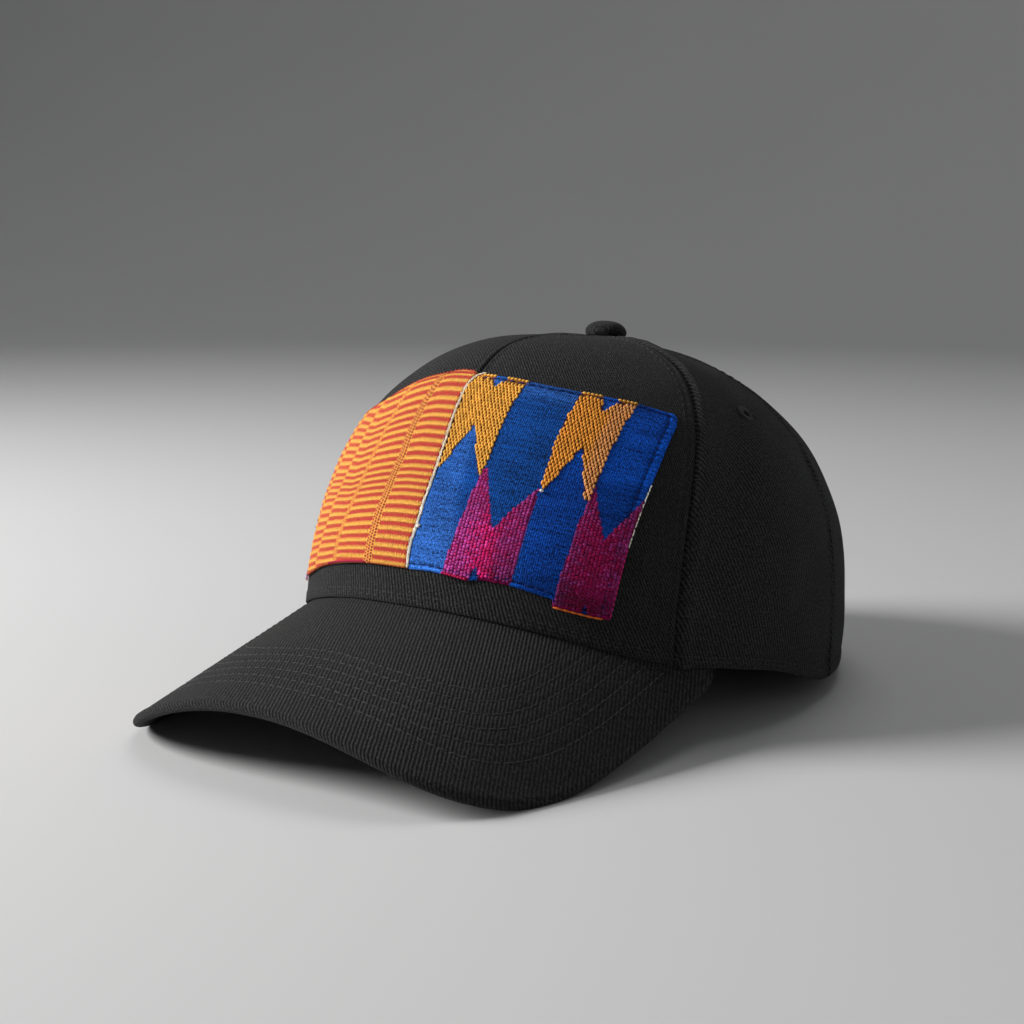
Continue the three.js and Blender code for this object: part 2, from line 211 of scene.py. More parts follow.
def seam_direction(name, share):
    seam = SEAMS[name]
    return seam["direction"] + seam["bow"] * np.sin(np.pi * np.asarray(share) ** 2)


def dip_depth(direction, share):
    behind = np.radians(direction - seam_direction("side", share))
    behind = behind * RIM_HALF_WIDTH * np.cos(share * np.pi / 2)
    across = hill(behind, DIP["behind"], DIP["width"])
    upwards = hill(share, DIP["height"], DIP["reach"])
    return np.where(behind < 0, 0.0, DIP["depth"] * across * upwards)


NEAR_RIM = 0.03


def crown_frame(direction, share):
    """The crown's surface point and outward normal. The normal turns level at the rim."""
    direction, share = np.broadcast_arrays(np.asarray(direction, float), np.asarray(share, float))
    side = np.where(direction < 0, -1.0, 1.0)
    positive = np.abs(direction)
    point = looked_up(CROWN, positive, share)
    normal = unit(looked_up(NORMALS, positive, share))
    level = rim_inset(positive, -np.ones_like(share)) - rim_point(positive)
    level = np.concatenate([level, np.zeros_like(level[..., :1])], -1)
    at_rim = (1 - smoothstep(share / NEAR_RIM))[..., None]
    normal = unit(normal * (1 - at_rim) + level * at_rim)
    point = point - normal * (dip_depth(positive, share)[..., None] * (1 - at_rim))
    mirror = np.stack([side, np.ones_like(side), np.ones_like(side)], -1)
    return point * mirror, normal * mirror


def crown_point(direction, share, offset=0.0):
    """The crown's surface moved outwards. At the rim it stays on the visor's seat."""
    point, normal = crown_frame(direction, share)
    offset = np.broadcast_to(np.asarray(offset, float), point.shape[:-1])
    moved = point + normal * offset[..., None]
    at_rim = 1 - smoothstep(np.broadcast_to(share, offset.shape) / NEAR_RIM)
    seat = seat_height(direction, moved[..., :2]) - seat_height(direction, point[..., :2])
    moved[..., 2] += seat * at_rim
    return moved


CLOTH_WIDTHS = np.arange(0.0, 76.1, 1.0)
CLOTH_HEIGHTS = np.arange(0.0, 92.1, 1.0)
CLOTH_TURN = 100


def cloth_direction_table():
    """The crown's directions by millimetres round from the centre front and millimetres up from the rim."""
    widths = np.cumsum(MM_PER_DEGREE, axis=0) * TABLE_STEP
    start = int(round(-TABLE_DIRECTIONS[0] / TABLE_STEP))
    widths = widths - widths[start]
    last = start + int(CLOTH_TURN / TABLE_STEP)
    directions = TABLE_DIRECTIONS[start:last]
    table = np.zeros((len(CLOTH_WIDTHS), len(CLOTH_HEIGHTS)))
    for j, height in enumerate(CLOTH_HEIGHTS):
        shares = height / MERIDIAN_LENGTHS[start:last]
        across = looked_up(widths, directions, shares)
        table[:, j] = np.interp(CLOTH_WIDTHS, across, directions)
    return table


CLOTH_DIRECTIONS = cloth_direction_table()


def cloth_place(w, h):
    """Direction and share on the crown of a place given in millimetres across and up."""
    w, h = np.broadcast_arrays(np.asarray(w, float), np.asarray(h, float))
    direction = between_entries(CLOTH_DIRECTIONS, np.abs(w), h)
    return np.where(w < 0, -direction, direction), h / meridian_length(direction)


def on_cloth(w, h, offset=0.0):
    direction, share = cloth_place(w, h)
    return crown_point(direction, share, offset)


def cloth_normal(w, h):
    return crown_frame(*cloth_place(w, h))[1]


# The visor's form

def visor_edge():
    end = rim_point(VISOR["end"])
    reach = VISOR["length"] + RIM_FRONT + end[1]
    power = 2 / VISOR["squareness"]
    turn = np.linspace(-1, 1, 401)
    a = np.radians(90 * turn)
    narrowing = smoothstep((np.abs(turn) - VISOR["narrows_from"]) / (1 - VISOR["narrows_from"]))
    wide = VISOR["half_width"] * np.abs(np.sin(a)) ** power - (VISOR["half_width"] - end[0]) * narrowing
    return np.stack([np.sign(turn) * wide, end[1] - reach * np.abs(np.cos(a)) ** power], -1)


VISOR_EDGE = visor_edge()
VISOR_EDGE_LENGTHS = lengths_along(VISOR_EDGE)


def visor_edge_point(across):
    wanted = VISOR["blunt"] + (across + 1) / 2 * (VISOR_EDGE_LENGTHS[-1] - 2 * VISOR["blunt"])
    return sampled(VISOR_EDGE, VISOR_EDGE_LENGTHS, wanted)


def visor_normal(plan):
    step = 0.5
    x, y = plan[..., 0], plan[..., 1]
    slope_x = visor_height(x + step, y) - visor_height(x - step, y)
    slope_y = np.full_like(slope_x, math.tan(math.radians(VISOR["slope"])))
    return unit(np.stack([-slope_x / (2 * step), -slope_y, np.ones_like(slope_x)], -1))


def visor_plan(across, out):
    """Plan points on the fan between the visor's sewn edge, tucked under the rim, and its free edge."""
    sewn = rim_inset(across * VISOR["end"], np.full_like(across, VISOR["tuck"]))
    return sewn * (1 - out[..., None]) + visor_edge_point(across) * out[..., None]


def visor_length(across):
    sewn = visor_plan(across, np.zeros_like(across))
    return np.linalg.norm(sewn - visor_edge_point(across), axis=-1)


def visor_plan_point(plan, out, below):
    normal = visor_normal(plan)
    upright = np.stack([np.zeros_like(out), np.zeros_like(out), 1 / normal[..., 2]], -1)
    direction = upright * (1 - out[..., None]) + normal * out[..., None]
    droop = VISOR["droop"] * out * (np.abs(plan[..., 0]) / VISOR["half_width"]) ** 3
    height = visor_height(plan[..., 0], plan[..., 1]) - droop
    point = np.concatenate([plan, height[..., None]], -1)
    return point + direction * (-GAP - below)[..., None]


# Mesh making

def grid_faces(columns, rows, closed=False, start=0):
    """Faces of a grid of points that is stored row by row."""
    across = columns if closed else columns + 1
    i, j = np.meshgrid(np.arange(columns), np.arange(rows))
    a = j * across + i
    b = j * across + (i + 1) % across
    return np.stack([a, b, b + across, a + across], -1).reshape(-1, 4) + start


def wall_faces(columns, rows, closed=False):
    """Faces of a closed wall between an outer grid and an inner grid of the same size."""
    across = columns if closed else columns + 1
    layer = across * (rows + 1)
    outer = grid_faces(columns, rows, closed)
    inner = grid_faces(columns, rows, closed, layer)[:, ::-1]
    i = np.arange(columns)
    low, high = i, (i + 1) % across
    bottom = np.stack([low + layer, high + layer, high, low], -1)
    top = rows * across
    lid = np.stack([low + top, high + top, high + top + layer, low + top + layer], -1)
    faces = [outer, inner, bottom, lid]
    if not closed:
        j = np.arange(rows) * across
        left = np.stack([j + layer, j, j + across, j + across + layer], -1)
        end = j + columns
        right = np.stack([end, end + layer, end + across + layer, end + across], -1)
        faces += [left, right]
    return np.concatenate(faces)


def make_piece(name, points, faces, material, slot, nodes=(), uv=None, colour=None):
    """A mesh piece that rides on the cap. Points are cap-frame millimetres, uv is in millimetres of cloth."""
    mesh = bpy.data.meshes.new(name)
    mesh.from_pydata(settled(points).tolist(), [], [list(face) for face in faces])
    mesh.update()
    corners = np.zeros(len(mesh.loops), dtype=np.int64)
    mesh.loops.foreach_get("vertex_index", corners)
    if uv is not None:
        layer = mesh.uv_layers.new(name="cloth")
        layer.data.foreach_set("uv", uv[corners].astype(np.float32).ravel())
    # The colour attribute holds each yarn's own colour. On the zigzag half and the magenta floats it also
    # holds painted light and shade.
    if colour is not None:
        layer = mesh.color_attributes.new("dye_and_painted_light", "FLOAT_COLOR", "POINT")
        rgba = np.concatenate([colour, np.ones((len(colour), 1))], 1)
        layer.data.foreach_set("color", rgba.astype(np.float32).ravel())
    mesh.polygons.foreach_set("use_smooth", [True] * len(mesh.polygons))
    mesh.materials.append(material)
    piece = bpy.data.objects.new(name, mesh)
    bpy.context.scene.collection.objects.link(piece)
    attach(piece, "root")
    if nodes:
        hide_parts(*nodes)


def spindles(paths, normals, widths, heights, sides=6):
    """Closed threads along many paths of equal point counts. Widths and heights are half sizes per point."""
    count, steps = paths.shape[:2]
    tangents = unit(np.gradient(paths, axis=1))
    across = unit(np.cross(tangents, normals))
    upwards = np.cross(across, tangents)
    turn = 2 * np.pi * np.arange(sides) / sides
    wide = np.outer(widths, np.cos(turn))[:, :, None]
    high = np.outer(heights, np.sin(turn))[:, :, None]
    ring = across[:, :, None, :] * wide + upwards[:, :, None, :] * high
    points = (paths[:, :, None, :] + ring).reshape(-1, 3)
    one = grid_faces(sides, steps - 1, closed=True)[:, ::-1]
    per = sides * steps
    faces = (one[None] + per * np.arange(count)[:, None, None]).reshape(-1, 4).tolist()
    cap = np.arange(sides)
    for k in range(count):
        faces.append((cap + per * k).tolist())
        faces.append((cap[::-1] + per * k + per - sides).tolist())
    return points, faces


def merged(parts):
    """Joins (points, faces) pairs into one."""
    points, faces, start = [], [], 0
    for some_points, some_faces in parts:
        points.append(some_points)
        faces += [[v + start for v in face] for face in some_faces]
        start += len(some_points)
    return np.concatenate(points), faces


# How a stitch swells and rises from end to end, as shares of its radius, and how uneven its length is.
STITCH_SHAPE = np.array([0.35, 0.9, 1.0, 0.9, 0.35])
STITCH_RISE = np.array([-0.5, 0.45, 0.8, 0.45, -0.5])
STITCH_UNEVEN = 0.08


def stitch_row(path, normals, length, gap, radius, jitter=0.0):
    """A row of thread stitches along a path on the cloth, each dipping into it at both ends."""
    along = lengths_along(path)
    count = max(int((along[-1] + gap) / (length + gap)), 1)
    starts = np.arange(count) * (along[-1] + gap) / count
    starts = starts + rng.uniform(-jitter, jitter, count)
    ends = starts + length * (1 + rng.uniform(-STITCH_UNEVEN, STITCH_UNEVEN, count))
    wanted = starts[:, None] + (ends - starts)[:, None] * np.linspace(0, 1, len(STITCH_SHAPE))
    centre = sampled(path, along, wanted)
    normal = unit(sampled(normals, along, wanted))
    centre = centre + normal * (STITCH_RISE * radius)[:, None]
    return spindles(centre, normal, STITCH_SHAPE * radius, STITCH_SHAPE * radius)


# Materials

def linear(red, green, blue):
    """Linear colour of display values from 0 to 255."""
    values = np.array([red, green, blue]) / 255
    return np.where(values <= 0.04045, values / 12.92, ((values + 0.055) / 1.055) ** 2.4)


class Shader:
    """Short names for building one node material. A value may be a number, a colour or a node's output."""

    def __init__(self, name, roughness=0.9, sheen=0.0, sheen_tint=(1, 1, 1), specular=0.25):
        self.material = bpy.data.materials.new(name)
        self.material.use_nodes = True
        self.tree = self.material.node_tree
        self.surface = self.tree.nodes["Principled BSDF"].inputs
        self.put(self.surface["Roughness"], roughness)
        self.put(self.surface["Specular IOR Level"], specular)
        self.put(self.surface["Sheen Weight"], sheen)
        self.put(self.surface["Sheen Roughness"], 0.5)
        self.put(self.surface["Sheen Tint"], sheen_tint)

    def put(self, socket, value):
        if isinstance(value, bpy.types.NodeSocket):
            self.tree.links.new(value, socket)
        elif socket.type == "RGBA":
            socket.default_value = (*value, 1)
        else:
            socket.default_value = value

    def node(self, kind, values, output=0, **settings):
        """Adds a node, gives its inputs their values by name or number and returns one of its outputs."""
        node = self.tree.nodes.new("ShaderNode" + kind)
        for key, value in settings.items():
            setattr(node, key, value)
        for key, value in values.items():
            self.put(node.inputs[key], value)
        return node.outputs[output]

    def math(self, operation, *values):
        return self.node("Math", dict(enumerate(values)), operation=operation)

    def plus(self, first, second):
        return self.math("ADD", first, second)

    def times(self, first, second):
        return self.math("MULTIPLY", first, second)

    def scaled(self, value, factor, offset):
        """A value times a factor, plus an offset."""
        return self.math("MULTIPLY_ADD", value, factor, offset)

    def at_least(self, value, limit):
        return self.math("MAXIMUM", value, limit)

    def uv(self):
        """The cloth's coordinates across and up."""
        place = self.node("UVMap", {}, uv_map="cloth")
        split = self.tree.nodes.new("ShaderNodeSeparateXYZ")
        self.put(split.inputs[0], place)
        return split.outputs[0], split.outputs[1]

    def place(self, x, y, z=0.0):
        return self.node("CombineXYZ", {0: x, 1: y, 2: z})

    def noise(self, vector, scale, detail=2.0, roughness=0.5):
        values = {"Vector": vector, "Scale": scale, "Detail": detail, "Roughness": roughness}
        return self.node("TexNoise", values)

    def fibres(self, scale, detail=3, roughness=0.6):
        """Fine noise that doesn't follow the cloth's coordinates."""
        return self.noise(self.node("TexCoord", {}, "Object"), scale, detail, roughness)

    # Reads the colour attribute: the yarns' own colours, with painted light and shade where the zigzag half
    # carries it.
    def dye_and_painted_light(self):
        return self.node("Attribute", {}, "Color", attribute_name="dye_and_painted_light")

    def mix(self, share, first, second, blend="MIX"):
        return self.node("Mix", {0: share, 6: first, 7: second}, 2, data_type="RGBA", blend_type=blend)

    def shaded(self, colour, shade):
        return self.mix(1.0, colour, self.place(shade, shade, shade), "MULTIPLY")

    def wave(self, value, pitch, phase=0.0):
        """A smooth ridge from 0 to 1 that repeats with the given pitch."""
        turns = self.scaled(value, 2 * math.pi / pitch, phase)
        return self.scaled(self.math("COSINE", turns), 0.5, 0.5)

    def finish(self, colour, height=None, depth=0.0):
        """Sets the colour and, with a height, a relief of the given depth in millimetres."""
        self.put(self.surface["Base Color"], colour)
        if height is not None:
            bump = self.node("Bump", {"Height": height, "Distance": depth * MILLIMETRE})
            self.put(self.surface["Normal"], bump)
        return self.material


# How the tone of the black cotton follows its ribs, its fluff and its light specks.
TWILL_TONE = {"ribs": 1.5, "fluff": 6.0, "ground": -3.2, "specks": 7.0, "specks_over": 0.6}
RIB_WANDER = 0.3
STRAND_SHIFT = 0.37
FLUFF_HEIGHT = 1.2
COOL_SHEEN = (0.8, 0.82, 0.85)
WARM_BLACK = np.array([1.0, 0.99, 0.98])


def ribbed_cloth(name, slant, pitch, strand, dark, light, depth, sheen=0.05):
    """Black cotton whose ribs slant from the cloth's up direction, each rib laid up from short strands."""
    m = Shader(name, 0.88, sheen, COOL_SHEEN)
    u, v = m.uv()
    sine, cosine = math.sin(math.radians(slant)), math.cos(math.radians(slant))
    wobble = m.scaled(m.noise(m.place(u, v), 0.5, 4, 0.65), 2.2, -1.1)
    over = m.plus(m.times(u, cosine), m.times(v, -sine))
    over = m.plus(over, m.times(wobble, pitch * RIB_WANDER))
    along = m.plus(m.times(u, sine), m.times(v, cosine))
    row = m.math("FLOOR", m.math("DIVIDE", over, pitch))
    knot = m.wave(m.plus(along, m.times(row, strand * STRAND_SHIFT)), strand)
    weave = m.times(m.wave(over, pitch), m.scaled(knot, 0.5, 0.5))
    fluff = m.noise(m.place(u, v), 1.25, 3, 0.85)
    patchy = m.noise(m.place(u, v), 0.09, 3)
    tone = m.times(weave, m.scaled(patchy, 0.7, 0.5))
    ground = m.scaled(fluff, TWILL_TONE["fluff"], TWILL_TONE["ground"])
    tone = m.scaled(tone, TWILL_TONE["ribs"], ground)
    speck = m.math("SUBTRACT", m.noise(m.place(u, v), 2.3, 1), TWILL_TONE["specks_over"])
    tone = m.scaled(m.at_least(speck, 0.0), TWILL_TONE["specks"], tone)
    colour = m.mix(tone, (dark,) * 3, light * WARM_BLACK)
    return m.finish(colour, m.scaled(fluff, FLUFF_HEIGHT, weave), depth)


# The slant of the ribs is in degrees, their pitch and that of the strands in millimetres.
CROWN_TWILL = ribbed_cloth("crown twill", -17, 1.2, 0.8, dark=0.0015, light=0.047, depth=0.36)
VISOR_TWILL = ribbed_cloth("visor ribs", -28, 1.08, 0.8, dark=0.0015, light=0.043, depth=0.3)
BUTTON_TWILL = ribbed_cloth("button twill", -17, 0.7, 0.6, dark=0.002, light=0.04, depth=0.1)
BAND_CLOTH = ribbed_cloth("band cloth", 0, 0.6, 0.6, dark=0.006, light=0.02, depth=0.12, sheen=0.2)


def grey_thread(name, dark, light, sheen):
    m = Shader(name, 0.75, sheen)
    grain = m.fibres(2500, 2)
    return m.finish(m.mix(grain, (dark,) * 3, (light,) * 3), grain, 0.12)


BLACK_THREAD = grey_thread("black thread", 0.01, 0.048, 0.15)
VISOR_THREAD = grey_thread("visor thread", 0.016, 0.08, 0.2)
EYELET_THREAD = grey_thread("eyelet thread", 0.006, 0.022, 0.1)


def kente_yarn():
    """Yarn whose colour comes from each strand's own colour attribute, with painted light and shade on the
    magenta floats.
    """
    m = Shader("kente yarn", 0.78, 0.04, specular=0.12)
    grain = m.fibres(2200)
    return m.finish(m.shaded(m.dye_and_painted_light(), m.scaled(grain, 0.7, 0.62)), grain, 0.15)


YARN = kente_yarn()

YELLOW = linear(255, 190, 82)
AMBER = linear(254, 172, 68)
STRIPE_YELLOW = linear(240, 178, 74)
STRIPE_RED = linear(188, 40, 42)
# An orange haze over the stripes: partly the yarn's fuzz, partly painted sheen.
STRIPE_FUZZ_AND_SHEEN = linear(238, 138, 84)
BLUE = linear(13, 73, 152)
# The lighter blue of the zigzag half, low on the left and along its top. Low on the left it is partly a real
# lighter patch and partly painted highlight.
LIGHTENED_BLUE = linear(49, 104, 190)
CLEAR_BLUE = linear(15, 84, 196)
DEEP_BLUE = linear(16, 42, 108)
MAGENTA = linear(176, 26, 98)
PEACH = linear(250, 176, 112)
CRIMSON = linear(190, 20, 94)
ORCHID = linear(164, 58, 136)
CREAM = linear(255, 250, 238)
PALE_PEACH = linear(255, 226, 178)

# Panels of the crown

# Where the columns of a panel's grid lie beside its seams and the rows above its rim, in millimetres.
EDGE_COLUMNS = np.array([
    0, 0.18, 0.4, 0.65, 0.95, 1.3, 1.7, 2.1, 2.5, 2.9, 3.3, 3.8, 4.3, 4.8, 5.3, 5.9, 6.6, 7.6,
])
RIM_ROWS = np.array([0, 0.15, 0.35, 0.6, 0.95, 1.4, 1.9, 2.4, 2.8, 3.1, 3.4, 3.8, 4.3, 5.0, 6.0])
PANELS = [
    {"name": "front_panel", "from": "centre_front", "to": "side", "columns": 38, "middle": 0},
    {"name": "side_panel", "from": "side", "to": "rear", "columns": 34, "middle": 80},
    {"name": "back_panel", "from": "rear", "to": "centre_back", "columns": 56, "middle": 142},
]
ROW_STEP = 1.35
SEAM_STITCH = 2.7
RIM_STITCHES = (2.0, 3.3)
# Raised bands beside the seams: how high they stand, over what width they rise, where they end and over what
# width they fall. The cloth rolls in at the seam itself.
SEAM_BANDS = {
    ("front_panel", "centre_front"): {"height": 0.12, "rise": 0.8, "end": 1.0, "fall": 0.9, "roll": 0.85},
    ("front_panel", "side"): {"height": 0.16, "rise": 0.8, "end": 2.0, "fall": 0.9, "roll": 1.1},
    ("side_panel", "side"): {"height": 0.85, "rise": 2.6, "end": 2.8, "fall": 4.8, "roll": 1.2},
    ("side_panel", "rear"): {"height": 0.14, "rise": 0.8, "end": 2.0, "fall": 0.9, "roll": 0.5},
    ("back_panel", "rear"): {"height": 0.14, "rise": 0.8, "end": 2.0, "fall": 0.9, "roll": 0.5},
    ("back_panel", "centre_back"): {"height": 0.18, "rise": 0.8, "end": 2.0, "fall": 0.9, "roll": 0.85},
}


def ripple(u, v, wavelength, seed):
    """Smooth seeded unevenness between about -1 and 1."""
    wave_rng = np.random.default_rng(seed)
    total = np.zeros_like(u)
    for _ in range(7):
        heading = wave_rng.uniform(0, 2 * np.pi)
        length = wavelength * wave_rng.uniform(0.7, 1.6)
        phase = wave_rng.uniform(0, 2 * np.pi)
        total += np.sin(2 * np.pi * (u * math.cos(heading) + v * math.sin(heading)) / length + phase)
    return total / 4


def rolled_edge(distance, depth, width, power=1.5):
    """How far the cloth rolls inwards close to an edge."""
    return -depth * np.exp(-((np.maximum(distance, 0) / width) ** power))


def seam_relief(distance, along, band, seed):
    roll = rolled_edge(distance, band["roll"], 0.55)
    pucker = 1 + 0.2 * ripple(along, distance, 9, seed)
    raised = smoothstep(distance / band["rise"]) * (1 - smoothstep((distance - band["end"]) / band["fall"]))
    groove = 0.14 * hill(distance, SEAM_STITCH, 0.45) if band["fall"] < 1 else 0.0
    return roll + band["height"] * raised * pucker - groove


def rim_relief(height_up, along):
    hem = 0.3 * (1 - smoothstep((height_up - 3.6) / 1.0))
    for row in RIM_STITCHES:
        hem = hem - 0.16 * hill(height_up, row, 0.4)
    return rolled_edge(height_up, 0.5, 0.45) + hem * (1 + 0.15 * ripple(along, height_up, 9, 5))


# A soft upright fold in the front panels, between the patch and the side seam.
FOLD = {"height": 0.55, "across": 71.5, "width": 3.0, "up": 24.0, "length": 15.0}
# The panels' seams meet under the button, where the cloth stands a little higher round it.
NEAR_BUTTON = {"height": 0.35, "distance": 8.0, "width": 3.5}
# Below this height the patch covers the front seam, which stays flat under it.
FRONT_SEAM_FROM = 60.0
FRONT_SEAM_RISE = 12
# The least width of a panel near the button, and the largest share of its width that the edge columns take.
NARROWEST = 0.5
EDGE_SHARE = 0.36
WIDTH_SAMPLES = 25
SOFTNESS = {"front_panel": 0.12, "side_panel": 0.3, "back_panel": 0.3}
# Where a panel is narrower than this its relief fades away.
CALM_BELOW = 14.0
EYELET_CLEARING = 2.7
# The twill's grain: its width at the rim, how far it leans, and how far it bends on the front panels.
RIM_TO_MERIDIAN = 0.9
GRAIN_SHEAR = 0.06
GRAIN_BEND = 0.0034


def straight_grain(turn, share, total):
    """Cloth coordinates whose grain runs straight up a panel laid on a globe, with the twill's own pull."""
    radius = total / (np.pi / 2)
    climb, a = share * np.pi / 2, np.radians(turn)
    across = RIM_TO_MERIDIAN * radius * np.arcsin(np.clip(np.cos(climb) * np.sin(a), -1, 1))
    upwards = radius * np.arctan2(np.sin(climb), np.cos(climb) * np.cos(a))
    return across, upwards


def panel_places(panel, shares):
    """Directions and distances from the first seam of a panel's grid, row by row."""
    directions, places = [], []
    for share in shares:
        ends = seam_direction(panel["from"], share), seam_direction(panel["to"], share)
        samples = np.linspace(*ends, WIDTH_SAMPLES)
        widths = looked_up(MM_PER_DEGREE, samples, np.full_like(samples, share))
        along = np.concatenate([[0], np.cumsum((widths[1:] + widths[:-1]) / 2 * np.diff(samples))])
        width = max(along[-1], NARROWEST)
        edge = EDGE_COLUMNS * min(1.0, EDGE_SHARE * width / EDGE_COLUMNS[-1])
        middle = np.linspace(edge[-1], width - edge[-1], panel["columns"] + 1)[1:-1]
        place = np.concatenate([edge, middle, width - edge[::-1]])
        directions.append(np.interp(place, along, samples))
        places.append(place)
    return np.array(directions), np.array(places)


def panel_relief(panel, u, v, seed):
    """How far a panel's cloth stands out, by distance from its first seam and up from the rim."""
    width = u[:, -1:]
    is_front = panel["from"] == "centre_front"
    relief = seam_relief(u, v, SEAM_BANDS[panel["name"], panel["from"]], seed)
    if is_front:
        relief = relief * smoothstep((v - FRONT_SEAM_FROM) / FRONT_SEAM_RISE)
    relief = relief + seam_relief(width - u, v, SEAM_BANDS[panel["name"], panel["to"]], seed + 1)
    relief = relief + rim_relief(v, u) + SOFTNESS[panel["name"]] * ripple(u, v, 26, seed + 2)
    relief = relief * smoothstep(width / CALM_BELOW)
    if is_front:
        fold = hill(u, FOLD["across"], FOLD["width"]) * hill(v, FOLD["up"], FOLD["length"])
        relief = relief + FOLD["height"] * fold
    from_button = meridian_length(90.0) - v
    return relief + NEAR_BUTTON["height"] * hill(from_button, NEAR_BUTTON["distance"], NEAR_BUTTON["width"])


def panel_piece(panel, side, seed):
    total = meridian_length(90.0)
    top = total - BUTTON_HOLE
    upper_rows = np.linspace(RIM_ROWS[-1], top, int((top - RIM_ROWS[-1]) / ROW_STEP))[1:]
    heights = np.concatenate([RIM_ROWS, upper_rows])
    directions, u = panel_places(panel, heights / total)
    v = np.broadcast_to(heights[:, None], u.shape)
    signed, shares = directions * side, v / total
    outer = crown_point(signed, shares, panel_relief(panel, u, v, seed)).reshape(-1, 3)
    inner = crown_point(signed, shares, -WALL).reshape(-1, 3)
    points = np.concatenate([outer, inner])
    faces = wall_faces(u.shape[1] - 1, u.shape[0] - 1)
    for direction, height in EYELETS.values():
        centre = crown_point(direction * side, height / meridian_length(direction))
        faces = faces[np.linalg.norm(points[faces].mean(1) - centre, axis=-1) > EYELET_CLEARING]
    if side < 0:
        faces = faces[:, ::-1]
    grain_x, grain_y = straight_grain(directions - panel["middle"], shares, total)
    bend = GRAIN_BEND if panel["name"] == "front_panel" else 0.0
    pulled = grain_x * side + GRAIN_SHEAR * grain_y + bend * grain_y**2
    cloth = np.stack([pulled.ravel(), grain_y.ravel()], -1)
    name = f"{panel['name']}_{'left' if side > 0 else 'right'}"
    uv = np.concatenate([cloth, cloth])
    make_piece(name + "_cloth", points, faces, CROWN_TWILL, "crown_twill", [name], uv=uv)


for number, panel in enumerate(PANELS):
    for side in (1, -1):
        panel_piece(panel, side, 10 * number + side + 3)


def seam_line(name, offset, side, low):
    """A path on the crown beside a seam, offset in millimetres round the crown."""
    shares = np.arange(low, TOP_OF_STITCHES, SEAM_LINE_STEP) / meridian_length(90.0)
    seam = seam_direction(name, shares)
    direction = seam + offset / looked_up(MM_PER_DEGREE, seam, shares)
    direction = np.where(direction > 180, 360 - direction, direction)
    return crown_frame(direction * side, shares)


CROWN_STITCH = {"length": 2.5, "gap": 0.75, "radius": 0.13}
TOP_OF_STITCHES = 146.0
SEAM_LINE_STEP = 0.6
STITCH_DEPTH = 0.02
RIM_STITCH_LIFT = 0.12
# Rows of stitches beside the seams, as seam, offset from it, side of the cap and height at which they start.
SEAM_ROWS = []
for side in (1, -1):
    SEAM_ROWS += [("side", -4.1, side, 40)]
    SEAM_ROWS += [("rear", -SEAM_STITCH, side, 5), ("rear", SEAM_STITCH, side, 5)]
    SEAM_ROWS += [("centre_back", -SEAM_STITCH, side, 5)]
SEAM_ROWS += [("centre_front", 1.5, 1, 79)]


def crown_stitches():
    rows = []
    for name, offset, side, low in SEAM_ROWS:
        path, normals = seam_line(name, offset, side, low)
        rows.append(stitch_row(path - normals * STITCH_DEPTH, normals, **CROWN_STITCH))
    direction = np.arange(-180, 180.1, 0.4)
    for height in RIM_STITCHES:
        point, normal = crown_frame(direction, height / meridian_length(direction))
        rows.append(stitch_row(point + normal * RIM_STITCH_LIFT, normal, **CROWN_STITCH))
    points, faces = merged(rows)
    make_piece("crown_stitching", points, faces, BLACK_THREAD, "crown_twill")


crown_stitches()

# Visor

VISOR_COLUMNS = 230
VISOR_ROWS = 78
ROUND_STEPS = 9
# Halves of the first and the last row of stitches in plan, from the middle to the crown.
FIRST_ROW = np.array([
    (0, -124.0), (17, -124.8), (27, -123.4), (36, -119.6), (42.5, -115.2), (46.5, -110.2),
    (49.2, -103), (50.8, -93), (51.2, -84), (51.3, -77.5),
])
LAST_ROW = np.array([
    (0, -145.7), (15, -145.4), (29.5, -143.9), (40, -141.5), (49.4, -138.2), (55, -134.3),
    (59.6, -129.8), (63, -124), (65.7, -117), (67.5, -110), (69, -101), (70, -90), (70.6, -75),
    (70.8, -57),
])
STITCH_ROWS = 6
ROW_POINTS = 160
ROUNDING = 60
VISOR_STITCH = {"length": 2.7, "gap": 0.4, "radius": 0.15}
VISOR_STITCH_DEPTH = 0.14
GROOVE = {"depth": 0.22, "width": 0.75}
CREST = {"height": 0.22, "from_edge": 1.9, "width": 1.1}
# Where the cloth coordinates of the visor's underside lie, clear of those of its upper side.
UNDERSIDE_AT = 300


def even(points, count):
    along = lengths_along(points)
    return sampled(points, along, np.linspace(0, along[-1], count))


def rounded(points, passes):
    points = points.copy()
    for _ in range(passes):
        points[1:-1] = (points[:-2] + 2 * points[1:-1] + points[2:]) / 4
    return points


def visor_rows():
    """Plan paths of the visor's stitch rows, each from one side of the crown round to the other."""
    first, last = even(FIRST_ROW, ROW_POINTS), even(LAST_ROW, ROW_POINTS)
    rows = []
    for k in range(STITCH_ROWS):
        share = k / (STITCH_ROWS - 1)
        half = first * (1 - share) + last * share
        whole = np.concatenate([(half * [-1, 1])[:0:-1], half])
        rows.append(rounded(whole, ROUNDING))
    return rows


VISOR_STITCH_ROWS = visor_rows()


def nearest(points, path):
    """The distance of each plan point from a path."""
    best = np.full(len(points), np.inf)
    for chunk in np.array_split(path, 8):
        best = np.minimum(best, np.sqrt(((points[:, None] - chunk[None]) ** 2).sum(-1)).min(1))
    return best


